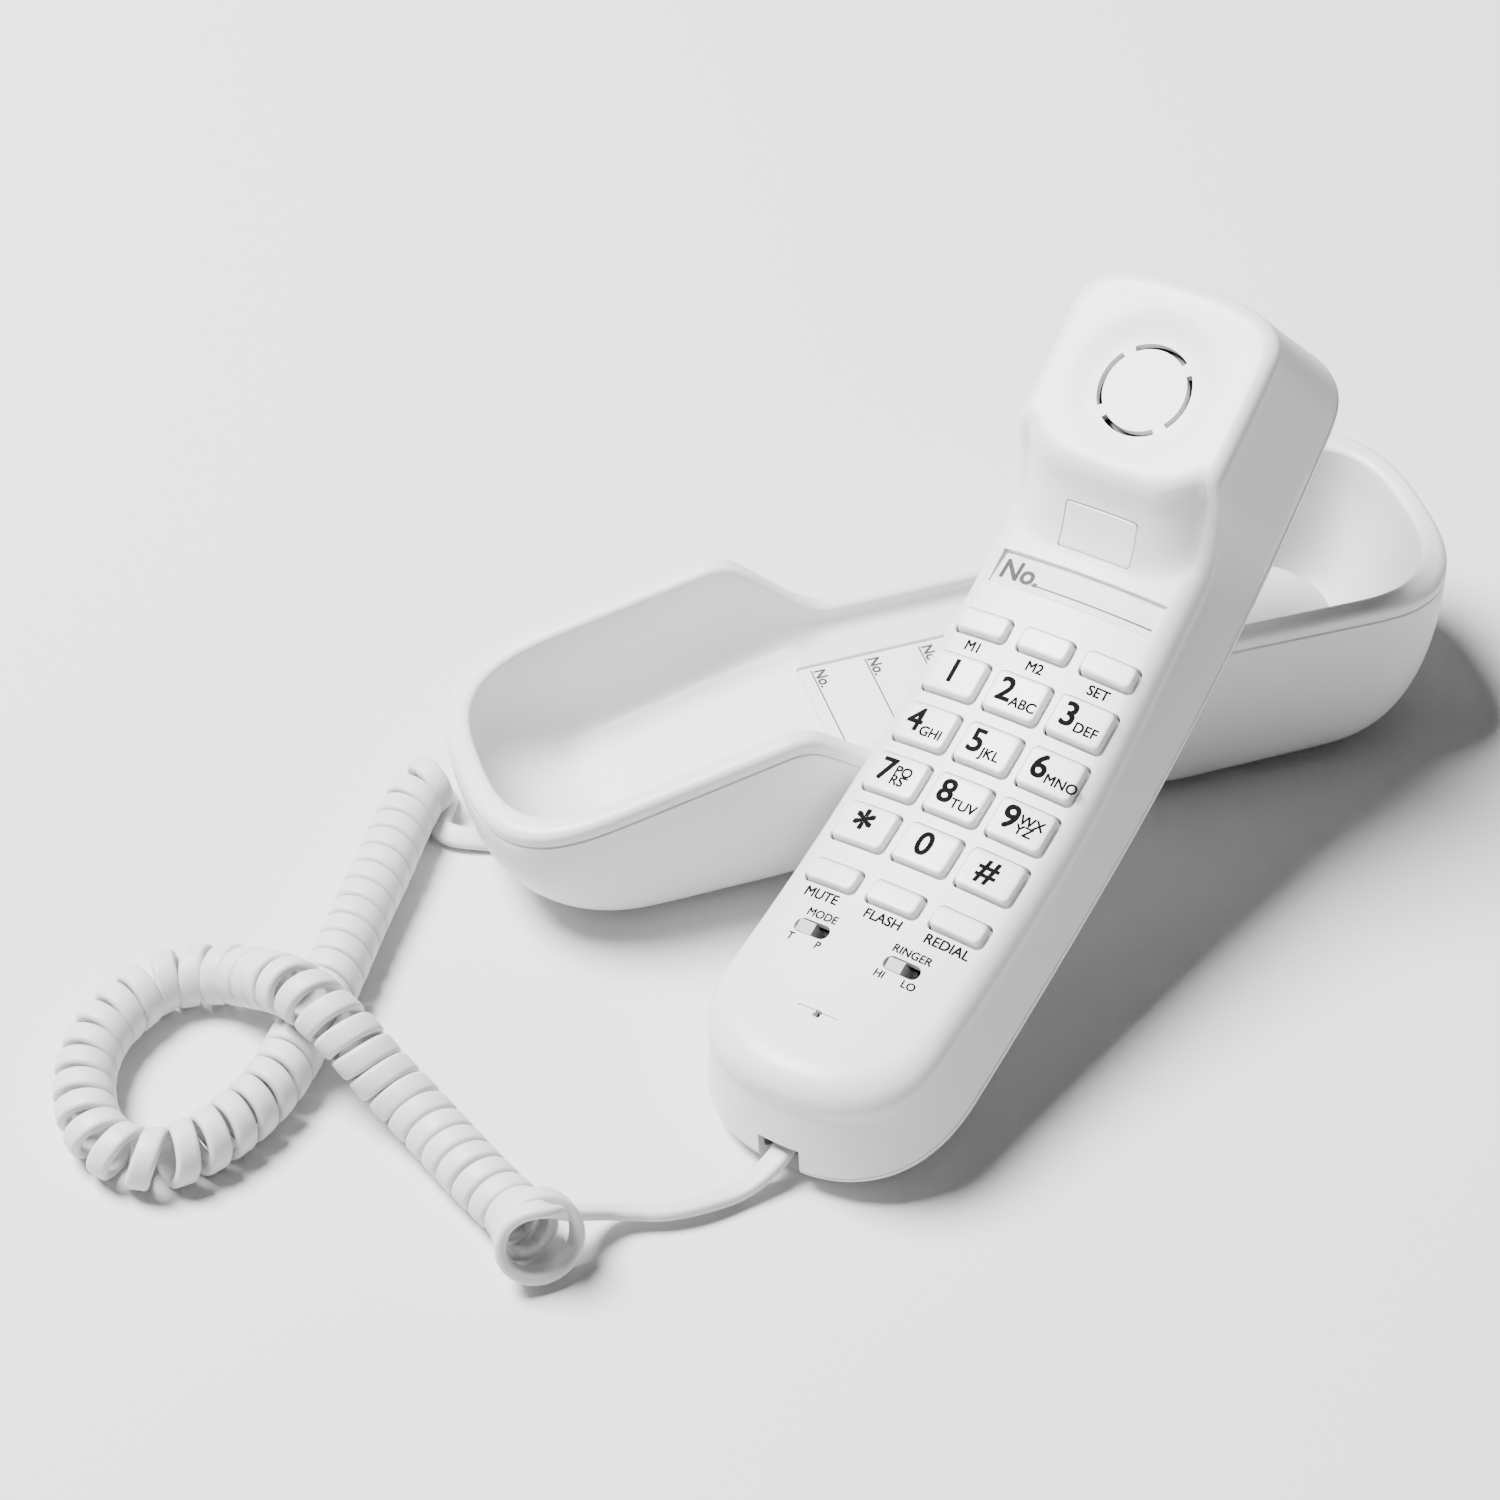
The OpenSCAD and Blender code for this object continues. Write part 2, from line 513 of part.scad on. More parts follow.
// ---- Keys ----
// Key that rises over the face by key_rise and is kept in by a lip under the shell at its two long sides
module key(row, column) {
    x = key_x(row);
    y = column_y[column];
    size = [key_size(row)[1], key_size(row)[0]];
    flange = size + [1.6, -1];
    color(white) in_handset() loft([
        small_ring(x, y, flange, 1.6, 0, key_floor_z),
        small_ring(x, y, flange, 1.6, 1, -wall - 0.3),
        small_ring(x, y, size, 1.4, 1, -wall - 0.3),
        small_ring(x, y, size, 1.4, 1, key_rise - 0.6),
        small_ring(x, y, size - [1.2, 1.2], 0.9, 1, key_rise)], 0);
}
function small_ring(x, y, size, r, follow, z) = block_ring(x, y, size, r, follow, z, 1);
module key_1() { key(4, 0); }
module key_2() { key(4, 1); }
module key_3() { key(4, 2); }
module key_4() { key(3, 0); }
module key_5() { key(3, 1); }
module key_6() { key(3, 2); }
module key_7() { key(2, 0); }
module key_8() { key(2, 1); }
module key_9() { key(2, 2); }
module key_star() { key(1, 0); }
module key_0() { key(1, 1); }
module key_hash() { key(1, 2); }
module key_m1() { key(5, 0); }
module key_m2() { key(5, 1); }
module key_set() { key(5, 2); }
module key_mute() { key(0, 0); }
module key_flash() { key(0, 1); }
module key_redial() { key(0, 2); }

// ---- Cord ----
// Point at share u of the smooth curve between points k and k + 1 of a route
function route_point(route, k, u) =
    let (n = len(route), a = route[max(k - 1, 0)], b = route[k], c = route[min(k + 1, n - 1)],
        d = route[min(k + 2, n - 1)])
    b + 0.5 * u * (c - a + (2 * a - 5 * b + 4 * c - d) * u + (3 * b - a - 3 * c + d) * u * u);
// Ring of an oval section, wide across the route and thick upwards
function oval_ring(centre, ahead, w, t, sides) =
    let (across = [ahead[1], -ahead[0], 0] / norm([ahead[1], -ahead[0], 0]),
        up = cross(across, ahead) / norm(ahead))
    [for (k = [0:sides - 1]) let (a = 360 * (k + 0.5) / sides)
        centre + across * (w / 2 * cos(a)) + up * (t / 2 * sin(a))];
// Tube along a route, with parts steps between two of its points
module tube(route, w, t, sides, parts) {
    last = (len(route) - 1) * parts;
    centres = [for (j = [0:last]) let (k = min(floor(j / parts), len(route) - 2))
        route_point(route, k, j / parts - k)];
    rings = [for (j = [0:last])
        oval_ring(centres[j], centres[min(j + 1, last)] - centres[max(j - 1, 0)], w, t, sides)];
    polyhedron([for (r = rings) each r], concat(
        [for (j = [0:last - 1], k = [0:sides - 1])
            let (a = j * sides + k, b = j * sides + (k + 1) % sides)
            each [[a, b, b + sides], [a, b + sides, a + sides]]],
        [[for (k = [sides - 1:-1:0]) k], [for (k = [0:sides - 1]) last * sides + k]]));
}
module plug() {
    cube(plug_size);
    translate([2, plug_size[1] / 2 - 1.5, plug_size[2] - 1.6]) cube([plug_size[0] - 4, 3, 1.6]);
}
module cord_handset_plug() {
    plug_z = handset_jack_z + (handset_jack_size[2] - plug_size[2]) / 2;
    color([0.85, 0.9, 0.95, 0.6]) in_handset()
        translate([handset_jack_x - 0.5, -plug_size[1] / 2, plug_z]) plug();
}
module cord_cradle_plug() {
    plug_z = jack_floor + (jack_size[2] - plug_size[2]) / 2;
    color([0.85, 0.9, 0.95, 0.6]) translate(cradle_pos)
        translate([jack_x - 0.4, -jack_y - plug_size[1] / 2, plug_z]) plug();
}
module cord_handset_lead() { color(soft_white) tube(handset_lead_route, cord_w, cord_t, 8, 2); }
module cord_coil() { color(soft_white) tube(coil_route, coil_d, coil_d, 10, 1); }
module cord_cradle_lead() { color(soft_white) tube(cradle_lead_route, cord_w, cord_t, 8, 1); }

cradle_top_shell();
cradle_bottom_shell();
number_card();
card_cover();
cradle_feet();
cradle_cord_jack();
line_jack();
jack_board();
cradle_ballast();
cradle_screws();
handset_front_shell();
handset_back_shell();
label_card();
label_window();
receiver();
receiver_gasket();
microphone();
microphone_boot();
main_board();
key_mat();
mode_switch_body();
ringer_switch_body();
hook_microswitch();
handset_jack();
ringer_disc();
handset_ballast();
handset_screws();
hook_button();
mode_knob();
ringer_knob();
key_1();
key_2();
key_3();
key_4();
key_5();
key_6();
key_7();
key_8();
key_9();
key_star();
key_0();
key_hash();
key_m1();
key_m2();
key_set();
key_mute();
key_flash();
key_redial();
cord_handset_plug();
cord_cradle_plug();
cord_handset_lead();
cord_coil();
cord_cradle_lead();
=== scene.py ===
"""The looks of the slimline wall telephone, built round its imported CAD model. Metres, +Z up.

The casings and keys are smooth meshes of the CAD parts' formulas. Only the looks have the hollower neck, the
earpiece dish, the microphone groove, wider earpiece slots and microphone hole, and finer edges. The handset's
own frame has X to the ear, Y to the left and Z out of the keypad, with its origin on the keypad's middle.
"""
import json
import math

import bmesh
import bpy
from mathutils import Matrix, Vector


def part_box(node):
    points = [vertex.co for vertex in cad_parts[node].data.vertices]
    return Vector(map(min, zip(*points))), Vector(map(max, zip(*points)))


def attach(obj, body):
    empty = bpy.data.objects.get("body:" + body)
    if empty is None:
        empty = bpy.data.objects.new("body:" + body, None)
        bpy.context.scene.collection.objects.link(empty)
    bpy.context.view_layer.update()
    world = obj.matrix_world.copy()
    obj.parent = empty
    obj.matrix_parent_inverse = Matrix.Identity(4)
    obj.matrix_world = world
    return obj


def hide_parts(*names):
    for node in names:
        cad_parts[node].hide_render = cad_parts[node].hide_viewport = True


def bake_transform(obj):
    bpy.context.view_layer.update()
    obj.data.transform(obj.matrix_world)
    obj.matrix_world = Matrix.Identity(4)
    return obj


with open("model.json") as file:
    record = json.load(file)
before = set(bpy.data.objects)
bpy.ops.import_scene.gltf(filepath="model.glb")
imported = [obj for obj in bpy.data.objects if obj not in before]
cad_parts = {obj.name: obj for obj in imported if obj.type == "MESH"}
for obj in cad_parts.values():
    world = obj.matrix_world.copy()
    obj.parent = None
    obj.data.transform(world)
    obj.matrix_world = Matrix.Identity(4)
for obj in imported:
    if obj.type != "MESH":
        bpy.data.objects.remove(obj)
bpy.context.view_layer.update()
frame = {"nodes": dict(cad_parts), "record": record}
MM = 0.001

# ---- Sizes of the CAD model, but for the slots and the hole named above ----
CRADLE_L = 0.222
BOWL_W = 0.063
WAIST_W = 0.057
MOUTH_RIM_H = 0.030
SHOULDER_H = 0.046
WAIST_H = 0.029
PLATFORM_H = 0.023
BOWL_FLOOR_H = 0.009
BOSS_R = 0.018
BOSS_X = 0.072
BOSS_H = 0.0215
KEYHOLE_PITCH = 0.0833
KEYHOLE_R = 0.0043
KEYHOLE_X = 0.008
KEYHOLE_SLOT = 0.009
KEYHOLE_SLOT_R = 0.0023
WALL = 0.0022
HALF_L = CRADLE_L / 2
SHOULDER_X = 0.047
WAIST_X = 0.019
MOUTH_ROUND = 0.030
EAR_ROUND = 0.026
FOOT_H = 0.003
FOOT_AT = (0.075, 0.0165)
RIM_T = 0.005
LIP_H = 0.0036
BOWL_DROP = 0.0014
SEAM = 0.0002
SIDE_TUCK = 0.007
END_TUCK = 0.022
BOWL_SIDE_TUCK = 0.009
BOWL_MOUTH_TUCK = 0.024
BOWL_EAR_TUCK = 0.020
CARD = (0.062, 0.027)
RAMP_SLOPE = 0.27
EAR_RAMP_X = 0.040
EAR_RAMP_L = 0.028
JACK_X = -0.054
JACK_Y = 0.0072
JACK_POCKET = (0.020, 0.011)
CRADLE_SCREWS = [(x, y) for x in (-0.033, 0.034) for y in (-0.014, 0.014)]

MOUTH_L = 0.088
EAR_L = 0.117
HANDSET_W = 0.059
FRONT_D = 0.018
BACK_D = 0.007
BEND_R = 0.333
CROWN_R = 0.147
HEAD_H = 0.0138
HEAD_FALL = 0.06
HANDSET_MOUTH_ROUND = 0.030
HANDSET_EAR_ROUND = 0.016
EDGE_R = 0.0045
HEAD_EDGE_R = 0.0032
MOUTH_EDGE_R = 0.009
SIDE_DRAFT = 0.0032
MOUTH_DRAFT = 0.007
EAR_DRAFT = 0.008
BACK_TUCK = 0.009
BACK_CROWN = 0.0016
NECK_X = 0.052
NECK_L = 0.015
HEAD_CORNER = 0.021
EAR_X = 0.0845
RING_R = 0.0092
RING_SLOT = 0.0012
HEAD_TILT = 10.8
MIC_X = -0.0617
WINDOW_X = 0.0455
WINDOW = (0.0074, 0.0394)
HOOK_X = 0.057
HOOK = (0.0072, 0.0172)
SWITCH_AT = [(-0.0446, 0.0126), (-0.045, -0.0096)]
SWITCH_SLOT = (0.0034, 0.0084)
HANDSET_SCREWS = [(-0.062, 0.016), (-0.062, -0.016), (0.066, 0.0)]
COLUMN_PITCH = 0.01524
ROW_PITCH = 0.0127
NUMBER_KEY = (0.0096, 0.0132)
FUNCTION_KEY = (0.0056, 0.0124)
KEY_RISE = 0.0016
KEY_FLOOR_Z = -0.0044
CORD_W = 0.005
CORD_T = 0.0024
COIL_D = 0.013

# ---- Sizes that only the looks have ----
END_POINTS = 22
SIDE_POINTS = 110
THROUGH = (-0.012, 0.03)
MIC_HOLE = 0.0016
MIC_GROOVE = (0.00045, 0.0098)
KEY_GAP = 0.00032
PANEL_GAP = 0.00018
DISH_DEPTH = 0.0009
DISH_R = (0.0105, 0.0185)
NECK_HOLLOW = 0.78
RIM_ROUND = 0.0019
PARTING_CHAMFER = 0.00025
LABEL_DEPTH = 0.00074
PRINT_LIFT = 0.00002
PRINT_THICK = 0.00003
CAP_SHARE = 0.69

CRADLE = Matrix.Translation((0, 0.0435, 0))
HANDSET = (Matrix.Translation((-0.0157, -0.0136, 0.0502)) @ Matrix.Rotation(math.radians(39.2), 4, "Z")
           @ Matrix.Rotation(math.radians(-22), 4, "Y") @ Matrix.Rotation(math.radians(-5), 4, "X"))


# ---- Small helpers ----
def mix(a, b, t):
    return a + (b - a) * t


def smooth(t):
    u = min(max(t, 0), 1)
    return u * u * (3 - 2 * u)


def tuck(t, n):
    """Inset of a rounded hull at depth t, from 0 at the top to 1 at the bottom."""
    return 1 - max(0, 1 - t ** n) ** (1 / n)


def depths(count, n):
    """Depths that a rounded hull's rings take, evenly spread round its curve."""
    return [math.sin(math.pi / 2 * k / count) ** (2 / n) for k in range(count + 1)]


# ---- Materials ----
def surface(name, colour, tint, tint_scale, rough, grain_scale, grain_depth, metallic=0.0, alpha=1.0,
            coat=0.0, stretch=(1, 1, 1), subsurface=0.0, shine=0.5):
    """Material whose colour drifts from colour to tint in soft clouds, with a fine grain."""
    material = bpy.data.materials.new(name)
    material.use_nodes = True
    nodes = material.node_tree.nodes
    link = material.node_tree.links.new
    shader = nodes["Principled BSDF"]
    shader.inputs["Metallic"].default_value = metallic
    shader.inputs["Alpha"].default_value = alpha
    shader.inputs["Coat Weight"].default_value = coat
    shader.inputs["Coat Roughness"].default_value = 0.25
    shader.inputs["Subsurface Weight"].default_value = subsurface
    shader.inputs["Subsurface Scale"].default_value = 0.002
    shader.inputs["Specular IOR Level"].default_value = shine
    place = nodes.new("ShaderNodeTexCoord")
    mapping = nodes.new("ShaderNodeMapping")
    mapping.inputs["Scale"].default_value = stretch
    link(place.outputs["Object"], mapping.inputs["Vector"])
    clouds = nodes.new("ShaderNodeTexNoise")
    clouds.inputs["Scale"].default_value = tint_scale
    clouds.inputs["Detail"].default_value = 3
    link(mapping.outputs["Vector"], clouds.inputs["Vector"])
    ramp = nodes.new("ShaderNodeValToRGB")
    ramp.color_ramp.elements[0].position = 0.35
    ramp.color_ramp.elements[0].color = (*colour, 1)
    ramp.color_ramp.elements[1].position = 0.65
    ramp.color_ramp.elements[1].color = (*tint, 1)
    link(clouds.outputs["Fac"], ramp.inputs["Fac"])
    link(ramp.outputs["Color"], shader.inputs["Base Color"])
    grain = nodes.new("ShaderNodeTexNoise")
    grain.inputs["Scale"].default_value = grain_scale
    grain.inputs["Detail"].default_value = 2
    link(mapping.outputs["Vector"], grain.inputs["Vector"])
    gloss = nodes.new("ShaderNodeMapRange")
    gloss.inputs["To Min"].default_value = rough[0]
    gloss.inputs["To Max"].default_value = rough[1]
    link(clouds.outputs["Fac"], gloss.inputs["Value"])
    link(gloss.outputs["Result"], shader.inputs["Roughness"])
    bump = nodes.new("ShaderNodeBump")
    bump.inputs["Strength"].default_value = 1
    bump.inputs["Distance"].default_value = grain_depth
    link(grain.outputs["Fac"], bump.inputs["Height"])
    link(bump.outputs["Normal"], shader.inputs["Normal"])
    return material


MATERIALS = {
    "white_casing": surface("casing plastic", (0.77, 0.77, 0.77), (0.745, 0.75, 0.755), 30, (0.34, 0.42),
                            1500, 0.000008, subsurface=0.04),
    "white_keys": surface("key plastic", (0.82, 0.82, 0.82), (0.79, 0.795, 0.80), 120, (0.28, 0.36), 2500,
                          0.000006, subsurface=0.04),
    "switch_knobs": surface("knob plastic", (0.42, 0.42, 0.43), (0.36, 0.36, 0.37), 300, (0.45, 0.55), 3000,
                            0.00001),
    "paper_cards": surface("card paper", (0.86, 0.86, 0.86), (0.82, 0.82, 0.82), 400, (0.8, 0.95), 2500,
                           0.00001),
    "clear_covers": surface("clear sheet", (0.9, 0.92, 0.94), (0.88, 0.9, 0.92), 60, (0.08, 0.14), 200,
                            0.000002, alpha=0.08),
    "pale_feet": surface("foot rubber", (0.50, 0.50, 0.49), (0.44, 0.44, 0.43), 250, (0.8, 0.95), 1500,
                         0.00003),
    "black_rubber": surface("black rubber", (0.03, 0.03, 0.03), (0.05, 0.05, 0.05), 250, (0.7, 0.9), 1500,
                            0.00003),
    "black_plastic": surface("black plastic", (0.03, 0.03, 0.032), (0.045, 0.045, 0.047), 200, (0.4, 0.55),
                             2500, 0.00001),
    "circuit_board": surface("circuit board", (0.02, 0.13, 0.06), (0.04, 0.2, 0.09), 900, (0.35, 0.5), 1200,
                             0.00003),
    "steel_parts": surface("drawn steel", (0.5, 0.51, 0.53), (0.6, 0.61, 0.63), 150, (0.3, 0.45), 900,
                           0.00001, metallic=1, stretch=(1, 12, 12)),
    "silicone_mat": surface("silicone", (0.55, 0.55, 0.55), (0.5, 0.5, 0.5), 200, (0.6, 0.75), 1500, 0.00001,
                            subsurface=0.1),
    "brass_disc": surface("brass", (0.72, 0.5, 0.2), (0.62, 0.42, 0.16), 120, (0.25, 0.4), 700, 0.00001,
                          metallic=1, stretch=(10, 1, 1)),
    "clear_plugs": surface("clear plug", (0.8, 0.83, 0.86), (0.75, 0.78, 0.8), 200, (0.08, 0.16), 400,
                           0.000004, alpha=0.4, coat=0.3),
    "white_cord": surface("cord jacket", (0.66, 0.655, 0.655), (0.62, 0.615, 0.62), 90, (0.42, 0.52), 900,
                          0.000012, subsurface=0.05),
}
INK = surface("printed ink", (0.004, 0.004, 0.0045), (0.007, 0.007, 0.0075), 500, (0.85, 0.95), 3000,
              0.000004, shine=0.08)


# ---- Meshes ----
def make(name, parts, material, place=None, angle=35):
    """Object from a list of (points, faces), with outward normals and sharp edges past the angle."""
    mesh = bpy.data.meshes.new(name)
    points = []
    faces = []
    for part_points, part_faces in parts:
        start = len(points)
        points += part_points
        faces += [tuple(start + k for k in face) for face in part_faces]
    mesh.from_pydata([place @ Vector(p) if place else p for p in points], [], faces)
    tidy = bmesh.new()
    tidy.from_mesh(mesh)
    bmesh.ops.recalc_face_normals(tidy, faces=tidy.faces)
    tidy.to_mesh(mesh)
    tidy.free()
    mesh.materials.append(material)
    mesh.shade_smooth()
    mesh.set_sharp_from_angle(angle=math.radians(angle))
    obj = bpy.data.objects.new(name, mesh)
    bpy.context.scene.collection.objects.link(obj)
    return obj


def carve(obj, parts, place, operation="DIFFERENCE", angle=35):
    """Cuts the closed parts out of obj, or joins them to it."""
    tool = make("tool", parts, obj.data.materials[0], place)
    step = obj.modifiers.new("carve", "BOOLEAN")
    step.operation = operation
    step.solver = "MANIFOLD"
    step.object = tool
    shaped = bpy.data.meshes.new_from_object(obj.evaluated_get(bpy.context.evaluated_depsgraph_get()))
    obj.modifiers.remove(step)
    old = obj.data
    obj.data = shaped
    shaped.name = old.name
    bpy.data.meshes.remove(old)
    bpy.data.objects.remove(tool)
    while len(shaped.materials) > 1:
        shaped.materials.pop()
    shaped.shade_smooth()
    shaped.set_sharp_from_angle(angle=math.radians(angle))
    return obj


def dress(obj, body, slot, *nodes):
    """Joins a piece to its body and hides the CAD nodes that it stands for. The slot argument is not used."""
    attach(obj, body)
    if nodes:
        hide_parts(*nodes)
    return obj


def bands(count, n):
    """Side faces of a solid of count rings with n points each."""
    return [(j * n + k, j * n + (k + 1) % n, (j + 1) * n + (k + 1) % n, (j + 1) * n + k)
            for j in range(count - 1) for k in range(n)]


def capped(rings):
    """Solid between rings of equal length, with one flat face on each end."""
    n = len(rings[0])
    last = (len(rings) - 1) * n
    ends = [tuple(range(n - 1, -1, -1)), tuple(range(last, last + n))]
    return [p for ring in rings for p in ring], bands(len(rings), n) + ends


def loft(rings):
    """Solid between rings that start on the long axis. Each end is closed by strips across its width."""
    n = len(rings[0])
    faces = bands(len(rings), n)
    cap = [(k, k + 1, n - 1 - k, n - k) for k in range(1, n // 2 - 1)]
    cap += [(0, 1, n - 1), (n // 2 - 1, n // 2, n // 2 + 1)]
    last = (len(rings) - 1) * n
    faces += [tuple(reversed(face)) for face in cap]
    faces += [tuple(last + k for k in face) for face in cap]
    return [p for ring in rings for p in ring], faces


def prism(outline, low, high):
    """Upright prism from an outline of (x, y) points."""
    return capped([[(x, y, z) for x, y in outline] for z in (low, high)])


def rounded(x, y, l, w, r, sides=8, corner=6):
    """Outline of a rectangle with rounded corners, l along X and w along Y."""
    outline = []
    for quarter, (i, j) in enumerate([(1, 1), (-1, 1), (-1, -1), (1, -1)]):
        cx = x + i * (l / 2 - r)
        cy = y + j * (w / 2 - r)
        for k in range(corner + 1):
            a = math.pi / 2 * (quarter + k / corner)
            outline.append((cx + r * math.cos(a), cy + r * math.sin(a)))
        run = (w if quarter % 2 else l) - 2 * r
        ahead = (-1, 0) if quarter == 0 else (0, -1) if quarter == 1 else (1, 0) if quarter == 2 else (0, 1)
        px, py = outline[-1]
        for k in range(1, sides):
            outline.append((px + ahead[0] * run * k / sides, py + ahead[1] * run * k / sides))
    return outline


def disc(x, y, r, count=40):
    return [(x + r * math.cos(2 * math.pi * k / count), y + r * math.sin(2 * math.pi * k / count))
            for k in range(count)]


def lathe(x, y, profile, count=64):
    """Solid of revolution about an upright axis from (radius, height) pairs, lowest first."""
    return capped([[(px, py, z) for px, py in disc(x, y, r, count)] for r, z in profile])


def half_outline(first, last, first_round, last_round, first_n, last_n):
    """Half outline as (length place, share of the half width), from one end round to the other."""
    quarter = [math.pi / 2 * k / END_POINTS for k in range(END_POINTS + 1)]
    start = first + first_round
    end = last - last_round
    return ([(first + first_round * (1 - max(0, math.cos(a)) ** (2 / first_n)), math.sin(a) ** (2 / first_n))
             for a in quarter]
            + [(mix(start, end, k / SIDE_POINTS), 1) for k in range(1, SIDE_POINTS)]
            + [(last - last_round * (1 - math.sin(a) ** (2 / last_n)), max(0, math.cos(a)) ** (2 / last_n))
               for a in quarter])


def mirrored(half):
    return half + [(x, -y, z) for x, y, z in half[-2:0:-1]]


# ---- Cradle ----
def rim_z(x):
    s = abs(x)
    fall = (SHOULDER_H - MOUTH_RIM_H) if x < 0 else 0.002
    return (mix(WAIST_H, SHOULDER_H, smooth((s - WAIST_X) / (SHOULDER_X - WAIST_X)))
            - fall * max(0, s - SHOULDER_X + 0.006) / (HALF_L - SHOULDER_X + 0.006))


def rim_w(x):
    return mix(WAIST_W, BOWL_W, smooth((abs(x) - WAIST_X) / (SHOULDER_X - WAIST_X))) / 2


def floor_z(x):
    if x < 0:
        return max(BOWL_FLOOR_H, min(PLATFORM_H, PLATFORM_H + RAMP_SLOPE * (x + CARD[0] / 2 - MM)))
    return mix(PLATFORM_H, BOWL_FLOOR_H, smooth((x - EAR_RAMP_X) / EAR_RAMP_L))


def cradle_ring(side, mouth, ear, top_drop, share=0.0, floor_up=0.0, low=False):
    ring = []
    for x, w in half_outline(-HALF_L + mouth, HALF_L - ear, MOUTH_ROUND - 0.4 * mouth,
                             EAR_ROUND - 0.3 * ear, 3, 2.7):
        bottom = (FOOT_H if low else floor_z(x)) + floor_up
        ring.append((x, (rim_w(x) - side) * w, mix(rim_z(x) - top_drop, bottom, share)))
    return mirrored(ring)


def rim_ring(inset, drop):
    return cradle_ring(inset, inset, inset, drop)


def hull_ring(t, thick):
    return cradle_ring(thick + SIDE_TUCK * tuck(t, 3.6), thick + END_TUCK * tuck(t, 2.2),
                       thick + 0.8 * END_TUCK * tuck(t, 2.2), LIP_H + SEAM, t, thick, True)


def bowl_ring(t, thick):
    inset = RIM_T - thick
    return cradle_ring(inset + BOWL_SIDE_TUCK * tuck(t, 3), inset + BOWL_MOUTH_TUCK * tuck(t, 2.1),
                       inset + BOWL_EAR_TUCK * tuck(t, 2.2), BOWL_DROP + thick, t, -thick)


def rounding(radius, steps=7):
    """(inset, drop) pairs round an outer top edge, from its side up to its top."""
    turns = [math.pi / 2 * k / steps for k in range(steps + 1)]
    return [(radius * (1 - math.cos(a)), radius * (1 - math.sin(a))) for a in turns]


def tray():
    """The cradle's upper casing: rim, two bowls, card platform and earpiece boss."""
    steps = depths(16, 2.4)
    outer = [rim_ring(inset, drop) for inset, drop in rounding(RIM_ROUND)]
    inner = [rim_ring(RIM_T - inset, drop * BOWL_DROP / RIM_ROUND)
             for inset, drop in reversed(rounding(RIM_ROUND))]
    obj = make("cradle_tray", [loft(
        [bowl_ring(t, WALL) for t in reversed(steps)] + [rim_ring(RIM_T - WALL, LIP_H)]
        + [rim_ring(PARTING_CHAMFER, LIP_H), rim_ring(0, LIP_H - PARTING_CHAMFER)] + outer + inner
        + [bowl_ring(t, 0) for t in steps[1:]])], MATERIALS["white_casing"], CRADLE)
    foot = [(BOSS_R + 0.007 * (1 - math.sin(a)), BOWL_FLOOR_H + 0.0045 * (1 - math.cos(a)) - 0.0003)
            for a in [math.pi / 2 * k / 8 for k in range(9)]]
    top = [(BOSS_R - inset, BOSS_H - drop) for inset, drop in rounding(0.0028)]
    carve(obj, [lathe(BOSS_X, 0, [(foot[0][0], BOWL_FLOOR_H - MM)] + foot + top)], CRADLE, "UNION")
    carve(obj, [prism(rounded(0, 0, CARD[0], CARD[1], 0.0008), PLATFORM_H - MM, PLATFORM_H + 0.004)], CRADLE)
    return dress(obj, "cradle", "white_casing", "cradle_top_shell")


def hull():
    """The cradle's lower casing, with its foot, screw, stud and jack openings."""
    steps = depths(18, 2.6)
    edge = hull_ring(0, 0)
    lip = [(x, y * (1 - PARTING_CHAMFER / 0.03), z) for x, y, z in edge]
    lowered = [(x, y, z - PARTING_CHAMFER) for x, y, z in edge]
    obj = make("cradle_hull", [loft(
        [hull_ring(t, 0) for t in reversed(steps[1:])] + [lowered, lip]
        + [hull_ring(t, WALL) for t in steps])], MATERIALS["white_casing"], CRADLE)
    cuts = [prism(disc(x, y, 0.0017), 0, 0.01) for x, y in CRADLE_SCREWS]
    cuts += [prism(disc(i * FOOT_AT[0], j * FOOT_AT[1], 0.002), 0, 0.01) for i in (-1, 1) for j in (-1, 1)]
    for side in (-1, 1):
        cuts.append(prism(rounded(JACK_X - JACK_POCKET[0] / 2, side * JACK_Y, *JACK_POCKET, 0.0006), 0,
                          FOOT_H + WALL + MM))
        cuts.append(prism(keyhole(KEYHOLE_X + side * KEYHOLE_PITCH / 2), 0, 0.01))
    carve(obj, cuts, CRADLE)
    return dress(obj, "cradle", "white_casing", "cradle_bottom_shell")


def keyhole(x):
    """Outline of a round entry with a narrower round-ended slot towards the ear end."""
    open_angle = math.asin(KEYHOLE_SLOT_R / KEYHOLE_R)
    entry = [mix(open_angle, 2 * math.pi - open_angle, k / 30) for k in range(31)]
    slot_end = [mix(-math.pi / 2, math.pi / 2, k / 12) for k in range(13)]
    return ([(x + KEYHOLE_R * math.cos(a), KEYHOLE_R * math.sin(a)) for a in entry]
            + [(x + KEYHOLE_SLOT + KEYHOLE_SLOT_R * math.cos(a), KEYHOLE_SLOT_R * math.sin(a))
               for a in slot_end])


# ---- Handset ----
def head_share(x, y):
    """Share of the head's height at a place: a hollow neck that turns over a firm edge onto the head."""
    u = min(max((x - NECK_X - 0.005 * (min(abs(y), HEAD_CORNER) / 0.02) ** 4) / NECK_L, 0), 1)
    if u < NECK_HOLLOW:
        round_share = NECK_HOLLOW * (1 - math.sqrt(1 - (u / NECK_HOLLOW) ** 2))
    else:
        round_share = NECK_HOLLOW + (1 - NECK_HOLLOW) * math.sqrt(1 - ((1 - u) / (1 - NECK_HOLLOW)) ** 2)
    return mix(smooth(u), round_share, 0.55)


